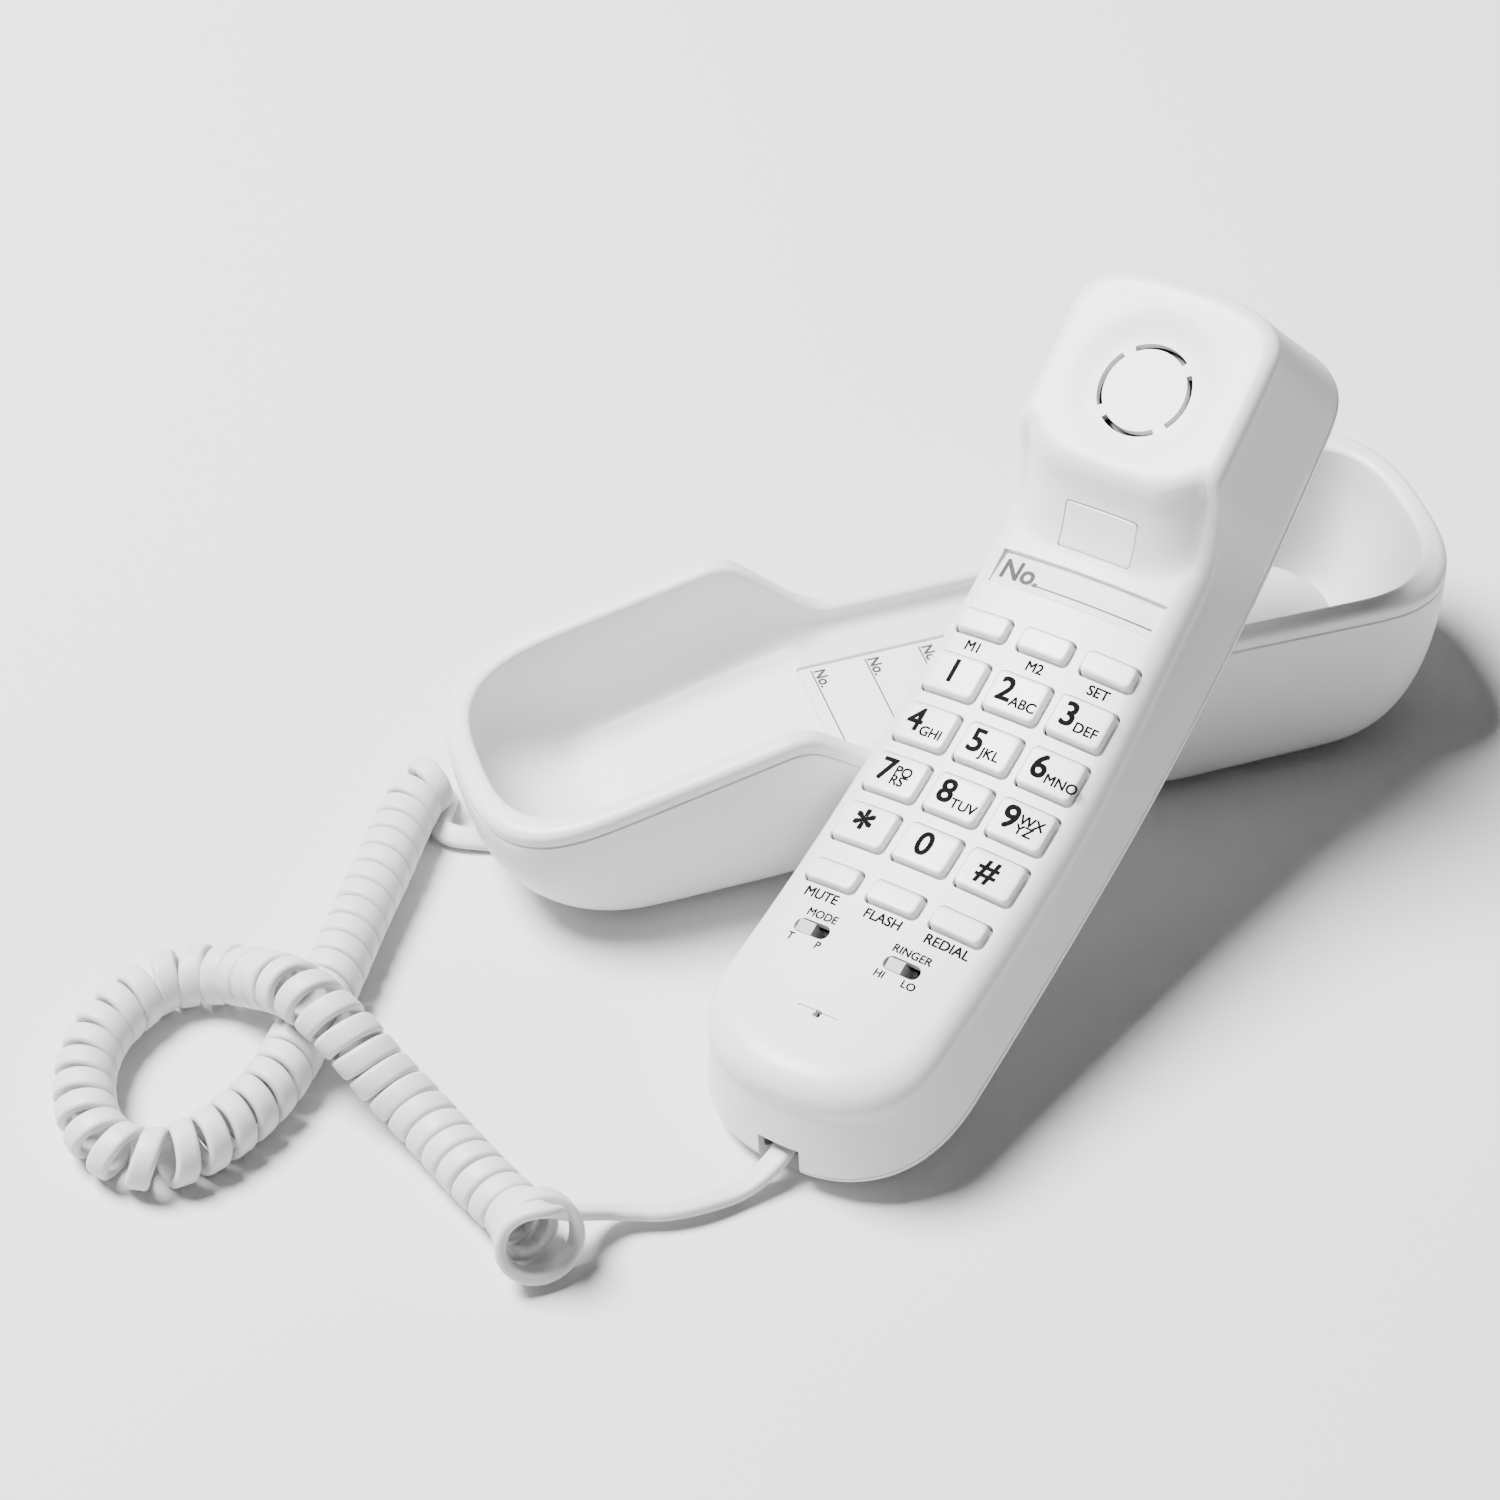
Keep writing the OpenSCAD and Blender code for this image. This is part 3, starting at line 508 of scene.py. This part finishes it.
def face_z(x, y):
    """Height of the handset's face, with the shallow dish round its earpiece."""
    share = head_share(x, y)
    away = math.hypot((x - EAR_X) * 1.02, y)
    dish = DISH_DEPTH * (1 - smooth((away - DISH_R[0]) / (DISH_R[1] - DISH_R[0])))
    return (x * x / (2 * BEND_R) - (1 - share) * y * y / (2 * CROWN_R)
            + (HEAD_H - HEAD_FALL * (x - NECK_X - NECK_L)) * share - dish)


def part_z(x):
    return (0.4 if x < 0 else 1) * x * x / (2 * BEND_R) - FRONT_D


def face_w(x):
    return HANDSET_W / 2 - SIDE_DRAFT - 0.0019 * smooth((x + 0.01) / 0.06)


def edge_at(x):
    return mix(mix(EDGE_R, HEAD_EDGE_R, smooth((x - NECK_X) / NECK_L)), MOUTH_EDGE_R,
               smooth((-0.06 - x) / 0.025))


def front_ring(share, turn, shrink, thick):
    """Ring of the front shell: share goes up its wall, turn (degrees) round its edge, shrink in its face."""
    down = 1 - math.cos(math.radians(turn))
    up = 1 - math.sin(math.radians(turn))
    mouth = thick + MOUTH_DRAFT * share + (MOUTH_EDGE_R - thick) * down
    ear = thick + EAR_DRAFT * share + (EDGE_R - thick) * down
    mouth_round = HANDSET_MOUTH_ROUND - MOUTH_DRAFT * share
    ear_round = HANDSET_EAR_ROUND - 0.4 * ear
    ring = []
    for x, w in half_outline(-MOUTH_L + mouth + mouth_round * (1 - shrink),
                             EAR_L - ear - ear_round * (1 - shrink), mouth_round * shrink, ear_round * shrink,
                             2.4, 3):
        r = edge_at(x) - thick
        y = shrink * w * (mix(HANDSET_W / 2, face_w(x), share) - thick - r * down)
        ring.append((x, y, mix(part_z(x), face_z(x, y) - thick - r * up, share)))
    return mirrored(ring)


def back_ring(depth, shrink, thick):
    """Ring of the back shell: depth goes down to its back, shrink over it."""
    inset = thick + BACK_TUCK * tuck(depth, 2)
    mouth_round = HANDSET_MOUTH_ROUND - 0.5 * inset
    ear_round = HANDSET_EAR_ROUND - 0.3 * inset
    return mirrored([(x, shrink * w * (HANDSET_W / 2 - inset),
                      part_z(x) - (BACK_D - thick) * depth - BACK_CROWN * (1 - shrink * shrink))
                     for x, w in half_outline(-MOUTH_L + inset + mouth_round * (1 - shrink),
                                              EAR_L - inset - ear_round * (1 - shrink), mouth_round * shrink,
                                              ear_round * shrink, 2.4, 3)])


def bar(l, w, low, high, x=WINDOW_X, steps=24):
    """Bar across the face that follows its crown, from height low to high over the face."""
    rows = [mix(-w / 2, w / 2, k / steps) for k in range(steps + 1)]
    rings = []
    for y in rows:
        z = x * x / (2 * BEND_R) - y * y / (2 * CROWN_R)
        rings.append([(x - l / 2, y, z + low), (x + l / 2, y, z + low), (x + l / 2, y, z + high),
                      (x - l / 2, y, z + high)])
    return capped(rings)


def key_x(row):
    return (row - 2.5) * ROW_PITCH


def key_y(column):
    return (1 - column) * COLUMN_PITCH


def key_size(row):
    return FUNCTION_KEY if row in (0, 5) else NUMBER_KEY


def ring_slot(start, sweep=74, steps=18):
    """One of the four curved slots round the earpiece disc, upright in the head's own tilted frame."""
    turns = [math.radians(start + sweep * k / steps) for k in range(steps + 1)]
    outline = [((RING_R + RING_SLOT) * math.cos(a), (RING_R + RING_SLOT) * math.sin(a)) for a in turns]
    outline += [(RING_R * math.cos(a), RING_R * math.sin(a)) for a in reversed(turns)]
    points, faces = prism(outline, -0.008, 0.012)
    tilt = (Matrix.Translation((EAR_X, 0, face_z(EAR_X, 0)))
            @ Matrix.Rotation(math.radians(-HEAD_TILT), 4, "Y"))
    return [tuple(tilt @ Vector(p)) for p in points], faces


def cord_mouth():
    """Opening in the mouth end for the cord's plug, as in both CAD shells but with rounded corners."""
    return prism(rounded(-MOUTH_L + 0.002, 0, 0.014, 0.010, 0.0008), -0.0166, -0.0086)


def front_shell():
    """The handset's front casing with every opening in its face."""
    face = [0.93, 0.84, 0.74, 0.64, 0.54, 0.44, 0.34, 0.24, 0.14, 0.05]
    wall = [k / 12 for k in range(1, 12)]
    obj = make("handset_front", [loft(
        [front_ring(1, 90, s, WALL) for s in reversed(face[1::2])] + [front_ring(1, 90, 1, WALL)]
        + [front_ring(1, 45, 1, WALL), front_ring(1, 0, 1, WALL), front_ring(0, 0, 1, WALL)]
        + [front_ring(0, 0, 1, PARTING_CHAMFER), front_ring(0.015, 0, 1, 0)]
        + [front_ring(s, 0, 1, 0) for s in wall]
        + [front_ring(1, turn, 1, 0) for turn in range(0, 91, 9)]
        + [front_ring(1, 90, s, 0) for s in face])], MATERIALS["white_casing"], HANDSET)
    cuts = [prism(rounded(key_x(row), key_y(column), key_size(row)[0] + 2 * KEY_GAP,
                          key_size(row)[1] + 2 * KEY_GAP, 0.0015), *THROUGH)
            for row in range(6) for column in range(3)]
    cuts += [prism(rounded(x, y, *SWITCH_SLOT, 0.0016), *THROUGH) for x, y in SWITCH_AT]
    cuts.append(prism(rounded(HOOK_X, 0, HOOK[0] + 2 * PANEL_GAP, HOOK[1] + 2 * PANEL_GAP, 0.0007), *THROUGH))
    cuts.append(bar(WINDOW[0] + 0.0004, WINDOW[1] + 0.0004, -0.0011, 0.003))
    cuts.append(prism(rounded(MIC_X, 0, MIC_HOLE, MIC_HOLE, 0.0002), *THROUGH))
    cuts += [ring_slot(start) for start in (53, 143, 233, 323)]
    cuts.append(cord_mouth())
    carve(obj, cuts, HANDSET)
    groove = rounded(MIC_X + 0.0004, 0, *MIC_GROOVE, 0.0002)
    carve(obj, [prism(groove, face_z(MIC_X, 0) - 0.0006, THROUGH[1])], HANDSET)
    return dress(obj, "handset", "white_casing", "handset_front_shell")


def back_shell():
    """The handset's back casing."""
    steps = depths(12, 2)
    over = [0.9, 0.75, 0.6, 0.45, 0.3, 0.15, 0.05]
    edge = back_ring(0, 1, 0)
    lip = back_ring(0, 1, PARTING_CHAMFER)
    lowered = [(x, y, z - PARTING_CHAMFER) for x, y, z in edge]
    obj = make("handset_back", [loft(
        [back_ring(1, s, 0) for s in reversed(over)] + [back_ring(t, 1, 0) for t in reversed(steps[1:])]
        + [lowered, lip] + [back_ring(t, 1, WALL) for t in steps] + [back_ring(1, s, WALL) for s in over])],
        MATERIALS["white_casing"], HANDSET)
    carve(obj, [prism(disc(x, y, 0.0017), -0.04, 0) for x, y in HANDSET_SCREWS] + [cord_mouth()], HANDSET)
    return dress(obj, "handset", "white_casing", "handset_back_shell")


# ---- Keys and prints ----
def block(x, y, size, corner, rows):
    """Rounded block whose rings lie inset from its outline at a height over the face (or over 0)."""
    rings = []
    for inset, height, follow in rows:
        l = size[0] - 2 * inset
        w = size[1] - 2 * inset
        outline = rounded(x, y, l, w, max(0.0001, min(corner - inset * 0.6, min(l, w) / 2 - 0.00005)))
        rings.append([(px, py, height + (face_z(px, py) if follow else 0)) for px, py in outline])
    return capped(rings)


def key_rows(size, rise, base, edge, draft):
    """Rows of a key: straight below the face, drafted above it, with a rounded top edge."""
    rows = [(-0.0001, base, False), (-0.0001, -0.0021, True), (0.0001, -0.0005, True)]
    rows += [(0.0001 + draft * 0.5, (rise - edge) * 0.5, True)]
    rows += [(0.0001 + draft + edge * (1 - math.cos(a)), rise - edge * (1 - math.sin(a)), True)
             for a in [math.pi / 2 * k / 5 for k in range(6)]]
    inner = 0.0001 + draft + edge
    deep = min(size) / 2 - 0.0003
    return rows + [(mix(inner, deep, k / 4), rise, True) for k in range(1, 5)]


def print_text(text, height, x, y, lift, align="CENTER", weight=0.03):
    """Thin raised print that follows a surface: it reads towards -Y, with its tops towards +X. Four copies
    set apart by the weight make its strokes bolder."""
    curve = bpy.data.curves.new("print", "FONT")
    curve.body = text
    curve.size = 1 / CAP_SHARE
    curve.align_x = align
    curve.align_y = "CENTER"
    curve.extrude = 0.01
    curve.resolution_u = 6
    source = bpy.data.objects.new("print", curve)
    bpy.context.scene.collection.objects.link(source)
    flat = bpy.data.meshes.new_from_object(source.evaluated_get(bpy.context.evaluated_depsgraph_get()))
    bpy.data.objects.remove(source)
    points = []
    faces = []
    for i, j in ((1, 1), (1, -1), (-1, 1), (-1, -1)):
        faces += [tuple(len(points) + k for k in face.vertices) for face in flat.polygons]
        corner = [(x + height * (v.co.y + i * weight), y - height * (v.co.x + j * weight), v.co.z > 0)
                  for v in flat.vertices]
        points += [(px, py, lift(px, py) + PRINT_LIFT + PRINT_THICK * top) for px, py, top in corner]
    bpy.data.meshes.remove(flat)
    return points, faces


def rule(x0, x1, y0, y1, lift, steps=12):
    """Thin printed line or bar between two corners, following a surface."""
    rings = []
    for k in range(steps + 1):
        y = mix(y0, y1, k / steps)
        corners = [(x0, 0), (x1, 0), (x1, PRINT_THICK), (x0, PRINT_THICK)]
        rings.append([(px, y, lift(px, y) + PRINT_LIFT + dz) for px, dz in corners])
    return capped(rings)


KEY_GRID = [["key_mute", "key_flash", "key_redial"], ["key_star", "key_0", "key_hash"],
            ["key_7", "key_8", "key_9"], ["key_4", "key_5", "key_6"], ["key_1", "key_2", "key_3"],
            ["key_m1", "key_m2", "key_set"]]
LEGENDS = {"key_1": ("1", []), "key_2": ("2", ["ABC"]), "key_3": ("3", ["DEF"]), "key_4": ("4", ["GHI"]),
           "key_5": ("5", ["JKL"]), "key_6": ("6", ["MNO"]), "key_7": ("7", ["PQ", "RS"]),
           "key_8": ("8", ["TUV"]), "key_9": ("9", ["WX", "YZ"]), "key_star": ("*", []), "key_0": ("0", []),
           "key_hash": ("#", [])}
FUNCTION_LABELS = {"key_mute": "MUTE", "key_flash": "FLASH", "key_redial": "REDIAL", "key_m1": "M1",
                   "key_m2": "M2", "key_set": "SET"}


def key_top(x, y):
    return face_z(x, y) + KEY_RISE


def keys():
    """Every key with its own print, and the labels on the face below the function keys."""
    labels = []
    for row, names in enumerate(KEY_GRID):
        for column, name in enumerate(names):
            x = key_x(row)
            y = key_y(column)
            size = key_size(row)
            body = make(name + "_cap", [block(x, y, size, 0.0016, key_rows(size, KEY_RISE, KEY_FLOOR_Z,
                                                                           0.0006, 0.00025))],
                        MATERIALS["white_keys"], HANDSET)
            dress(body, name, "white_keys", name)
            if name in LEGENDS:
                digit, letters = LEGENDS[name]
                digit_y = y + (0.0026 if letters else 0.0006)
                if digit == "*":
                    parts = [print_text(digit, 0.0072, x - 0.0012, digit_y, key_top)]
                else:
                    parts = [print_text(digit, 0.0052, x + 0.0003, digit_y, key_top)]
                for line, text in enumerate(letters):
                    low = -0.0016 if len(letters) == 1 else 0.0009 - 0.0023 * line
                    parts.append(print_text(text, 0.0022, x + low, y + 0.0006, key_top, "LEFT"))
                dress(make(name + "_print", parts, INK, HANDSET), name, "black_plastic")
            else:
                labels.append(print_text(FUNCTION_LABELS[name], 0.0022, x - 0.0052, y, face_z))
    for (x, y), title, left, right in zip(SWITCH_AT, ("MODE", "RINGER"), ("T", "HI"), ("P", "LO")):
        labels.append(print_text(title, 0.0018, x + 0.0034, y - 0.0004, face_z))
        labels.append(print_text(left, 0.0017, x - 0.0032, y + 0.0034, face_z))
        labels.append(print_text(right, 0.0017, x - 0.0032, y - 0.0034, face_z))
    dress(make("face_labels", labels, INK, HANDSET), "handset", "black_plastic")


def hook_button():
    """Flush hook-switch panel that follows the neck's curve."""
    rows = [(-0.0006, 0.0002, False), (-0.0006, 0.0012, False), (0, 0.0013, False)]
    rows += [(0, -0.00025, True), (0.0002, 0, True)]
    rows += [(mix(0.0002, HOOK[0] / 2 - 0.0003, k / 6), 0, True) for k in range(1, 7)]
    obj = make("hook_panel", [block(HOOK_X, 0, HOOK, 0.0007, rows)], MATERIALS["white_keys"], HANDSET)
    dress(obj, "hook_button", "white_keys", "hook_button")


def window_z(x, y):
    """Height just over the paper label, which is flat along the handset and crowned across it."""
    return WINDOW_X * WINDOW_X / (2 * BEND_R) - y * y / (2 * CROWN_R) - LABEL_DEPTH


def card_z(x, y):
    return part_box("number_card")[1].z


def cards():
    """Printed rules and generic words on the handset's label and the cradle's number card."""
    left = WINDOW[1] / 2
    label = [print_text("No.", 0.0044, WINDOW_X - 0.0002, left - 0.0011, window_z, "LEFT"),
             rule(WINDOW_X - 0.0021, WINDOW_X - 0.0018, left - 0.0095, -left + 0.0008, window_z)]
    dress(make("label_print", label, INK, HANDSET), "handset", "black_plastic")
    lines = []
    for k in range(5):
        x = -CARD[0] / 2 + 0.003 + 0.0125 * k
        lines.append(rule(x, x + 0.0003, CARD[1] / 2 - 0.0012, -CARD[1] / 2 + 0.0012, card_z))
        lines.append(print_text("No.", 0.0026, x + 0.0018, CARD[1] / 2 - 0.0014, card_z, "LEFT"))
    dress(make("card_print", lines, INK, CRADLE), "cradle", "black_plastic")


# ---- Cord: the routes of part.scad in metres, with both ends of the curly part shaped more closely ----
LEAD_Z = CORD_T / 2 + 0.0001
HANDSET_LEAD = [(-0.0712, -0.0602, 0.0077), (-0.0745, -0.0625, 0.0059), (-0.0792, -0.0643, 0.0036),
                (-0.0844, -0.0657, 0.0024), (-0.09, -0.0666, 0.0026), (-0.095, -0.0668, 0.0028),
                (-0.1, -0.0662, 0.0028), (-0.105, -0.0648, 0.0032), (-0.11, -0.0642, 0.0044),
                (-0.1152, -0.0652, 0.0073), (-0.1205, -0.0671, 0.011)]
COIL = [(-0.1272, -0.074, 0.0114), (-0.1266, -0.0708, 0.0101), (-0.1273, -0.0652, 0.0081),
        (-0.1298, -0.0575, 0.0065), (-0.1333, -0.0485, 0.0065), (-0.1375, -0.0365, 0.0066),
        (-0.1415, -0.027, 0.0083), (-0.146, -0.0195, 0.0122), (-0.1505, -0.012, 0.0172),
        (-0.1556, -0.003, 0.0199), (-0.1594, 0.005, 0.0176), (-0.163, 0.0135, 0.012), (-0.168, 0.0205, 0.008),
        (-0.175, 0.024, 0.0065), (-0.183, 0.024, 0.0065), (-0.19, 0.02, 0.0065), (-0.1965, 0.0145, 0.0065),
        (-0.2015, 0.0065, 0.0065), (-0.204, -0.0025, 0.0065), (-0.204, -0.0115, 0.0065),
        (-0.2005, -0.019, 0.0065), (-0.1935, -0.0235, 0.0065), (-0.185, -0.0227, 0.0065),
        (-0.176, -0.0185, 0.0065), (-0.1675, -0.012, 0.0065), (-0.1605, -0.0038, 0.0065),
        (-0.1543, 0.0049, 0.0065), (-0.148, 0.0135, 0.0065), (-0.1387, 0.0283, 0.0065),
        (-0.1295, 0.0423, 0.0065), (-0.121, 0.0557, 0.0065), (-0.1158, 0.0618, 0.0067),
        (-0.1108, 0.0648, 0.0071)]
CRADLE_LEAD = [(-0.1128, 0.0572, 0.0022), (-0.1136, 0.0538, 0.0024), (-0.1118, 0.0508, 0.0026),
               (-0.1076, 0.0486, 0.0024), (-0.1025, 0.0469, 0.0016), (-0.0965, 0.0447, LEAD_Z),
               (-0.0895, 0.0419, LEAD_Z), (-0.083, 0.0391, LEAD_Z), (-0.077, 0.0371, LEAD_Z),
               (-0.0715, 0.0363, 0.002), (-0.067, 0.0363, 0.0042), (-0.0625, 0.0363, 0.007),
               (-0.058, 0.0363, 0.0092), (-0.0546, 0.0363, 0.0095)]
COIL_PITCH = 0.00533
FANNING = 0.0042
TURN_STEPS = 30
END_RING_GROWTH = 0.003
JOIN_REACH = 9
JOIN_PASSES = 6


def curve_points(route, steps):
    """Smooth curve through a route, with steps stretches between two of its points."""
    out = []
    points = [Vector(p) for p in route]
    for k in range(len(points) - 1):
        a = points[max(k - 1, 0)]
        b = points[k]
        c = points[k + 1]
        d = points[min(k + 2, len(points) - 1)]
        for j in range(steps):
            u = j / steps
            out.append(0.5 * (2 * b + (c - a) * u + (2 * a - 5 * b + 4 * c - d) * u * u
                              + (3 * b - a - 3 * c + d) * u * u * u))
    return out + [points[-1]]


def coil_line():
    """Centreline and outward direction of every step of the curly part."""
    axis = curve_points(COIL, 40)
    step = [(axis[k + 1] - axis[k]).length for k in range(len(axis) - 1)]
    last = len(axis) - 1
    ahead = [(axis[min(k + 12, last)] - axis[max(k - 12, 0)]).normalized() for k in range(len(axis))]
    turn = [0.0]
    for k in range(len(step)):
        near = max(k - 20, 0)
        far = min(k + 20, len(axis) - 1)
        bend = ahead[near].angle(ahead[far]) / max(1e-6, sum(step[near:far]))
        turn.append(turn[-1] + step[k] / (COIL_PITCH * (1 + FANNING * bend)))
    whole = round(turn[-1])
    turn = [t * whole / turn[-1] + 0.25 + 0.5 * t / turn[-1] for t in turn]
    count = int((turn[-1] - turn[0]) * TURN_STEPS)
    line = []
    k = 0
    for j in range(count + 1):
        want = mix(turn[0], turn[-1], j / count)
        while k < len(step) - 1 and turn[k + 1] < want:
            k += 1
        u = (want - turn[k]) / (turn[k + 1] - turn[k])
        centre = axis[k].lerp(axis[k + 1], u)
        along = ahead[k].lerp(ahead[k + 1], u).normalized()
        side = along.cross(Vector((0, 0, 1))).normalized()
        top = side.cross(along)
        radius = (COIL_D - CORD_T) / 2 + END_RING_GROWTH * smooth((1.9 - want + turn[0]) / 1.2)
        angle = 2 * math.pi * want
        out = side * math.cos(angle) + top * math.sin(angle)
        line.append((centre + out * radius, out))
    return line


def bridge(a, ahead_a, b, ahead_b, steps=10):
    """Points of a smooth curve from a to b that leaves along ahead_a and arrives along ahead_b."""
    reach = (b - a).length * 0.4
    c = a + ahead_a.normalized() * reach
    d = b - ahead_b.normalized() * reach
    return [a * (1 - u) ** 3 + 3 * c * u * (1 - u) ** 2 + 3 * d * u * u * (1 - u) + b * u ** 3
            for u in [k / steps for k in range(1, steps)]]


def relaxed(path, *joins):
    """The path with its corners eased where its stretches join, and less so further from each join."""
    points = list(path)
    for _ in range(JOIN_PASSES):
        for join in joins:
            near = range(join - JOIN_REACH, join + JOIN_REACH + 1)
            eased = [points[k].lerp((points[k - 1] + points[k + 1]) / 2,
                                    0.5 * (1 - (abs(k - join) / (JOIN_REACH + 1)) ** 2)) for k in near]
            points[near.start:near.stop] = eased
    return points


def cord():
    """The whole cord as one flat-sectioned tube, from the handset's plug to the cradle's."""
    up = Vector((0, 0, 1))
    first = curve_points(HANDSET_LEAD, 8)
    last = curve_points(CRADLE_LEAD, 8)
    coil = coil_line()
    at_plug = HANDSET.to_3x3() @ up
    edge_on = coil[0][1]
    lead_in = [(p, at_plug.lerp(edge_on, smooth(k / (len(first) * 0.45)))) for k, p in enumerate(first)]
    link_in = bridge(first[-1], first[-1] - first[-2], coil[0][0], coil[1][0] - coil[0][0])
    link_out = bridge(coil[-1][0], coil[-1][0] - coil[-2][0], last[0], last[1] - last[0])
    leaning = (-up).lerp(Vector((0.6, 0.5, -0.4)), 0.5)
    lead_out = [(p, leaning.lerp(-up, smooth((k - 20) / 24))) for k, p in enumerate(last)]
    stops = (lead_in + [(p, edge_on) for p in link_in] + coil
             + [(p, coil[-1][1].lerp(leaning, (k + 1) / len(link_out))) for k, p in enumerate(link_out)]
             + lead_out)
    coil_start = len(first) + len(link_in)
    path = relaxed([p for p, _ in stops], coil_start, coil_start + len(coil))
    section = []
    corner = CORD_T * 0.42
    for quarter, (i, j) in enumerate([(1, 1), (-1, 1), (-1, -1), (1, -1)]):
        for k in range(4):
            a = math.pi / 2 * (quarter + k / 3)
            section.append((i * (CORD_W / 2 - corner) + corner * math.cos(a),
                            j * (CORD_T / 2 - corner) + corner * math.sin(a)))
    rings = []
    for k, (_, out) in enumerate(stops):
        p = path[k]
        ahead = (path[min(k + 1, len(path) - 1)] - path[max(k - 1, 0)]).normalized()
        thin = (out - ahead * out.dot(ahead)).normalized()
        wide = ahead.cross(thin)
        rings.append([tuple(p + wide * a + thin * b) for a, b in section])
    obj = make("curly_cord", [capped(rings)], MATERIALS["white_cord"], angle=50)
    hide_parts("cord_handset_lead", "cord_coil", "cord_cradle_lead")
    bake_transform(obj)


# ---- Camera, lights and floor ----
def camera():
    """Camera at the photographed view: azimuth -17.2 degrees, 43.8 degrees above the table."""
    azimuth = math.radians(-17.16)
    elevation = math.radians(43.76)
    roll = math.radians(-1.03)
    target = Vector((-0.04752, 0.03842, 0.020))
    back = Vector((math.sin(azimuth) * math.cos(elevation), -math.cos(azimuth) * math.cos(elevation),
                   math.sin(elevation)))
    right = Vector((math.cos(azimuth), math.sin(azimuth), 0))
    up = back.cross(right)
    turned = right * math.cos(roll) + up * math.sin(roll)
    data = bpy.data.cameras.new("camera")
    data.sensor_width = 36
    data.lens = 105.87
    data.clip_start = 0.01
    obj = bpy.data.objects.new("camera", data)
    obj.matrix_world = Matrix.Translation(target + back * 0.9554) @ Matrix(
        (turned, back.cross(turned), back)).transposed().to_4x4()
    bpy.context.scene.collection.objects.link(obj)
    bpy.context.scene.camera = obj


def area_light(name, at, towards, size, power):
    data = bpy.data.lights.new(name, "AREA")
    data.shape = "DISK"
    data.size = size
    data.energy = power
    obj = bpy.data.objects.new(name, data)
    obj.location = at
    obj.rotation_euler = (Vector(towards) - Vector(at)).to_track_quat("-Z", "Y").to_euler()
    bpy.context.scene.collection.objects.link(obj)


def studio():
    """Plain pale floor, faint surroundings and one big soft light from the upper left."""
    floor = make("floor", [prism([(-3, -3), (3, -3), (3, 3), (-3, 3)], -0.01, 0)],
                 surface("floor", (0.74, 0.74, 0.74), (0.72, 0.72, 0.725), 2, (0.85, 0.95), 300, 0.00001))
    world = bpy.data.worlds.new("world")
    world.use_nodes = True
    world.node_tree.nodes["Background"].inputs["Color"].default_value = (0.97, 0.98, 1, 1)
    world.node_tree.nodes["Background"].inputs["Strength"].default_value = 0.1
    bpy.context.scene.world = world
    area_light("key", (-0.75, 0.55, 1.6), (0, 0.03, 0.02), 0.9, 150)


def dress_cad_nodes():
    """Gives each CAD node that stays in view or inside the material of its slot."""
    slots = {part["node"]: part["material_slot"] for part in frame["record"]["subparts"]}
    for name, obj in frame["nodes"].items():
        obj.data.materials.clear()
        obj.data.materials.append(MATERIALS[slots[name]])


camera()
cord()
dress_cad_nodes()
tray()
hull()
front_shell()
back_shell()
keys()
hook_button()
cards()
studio()
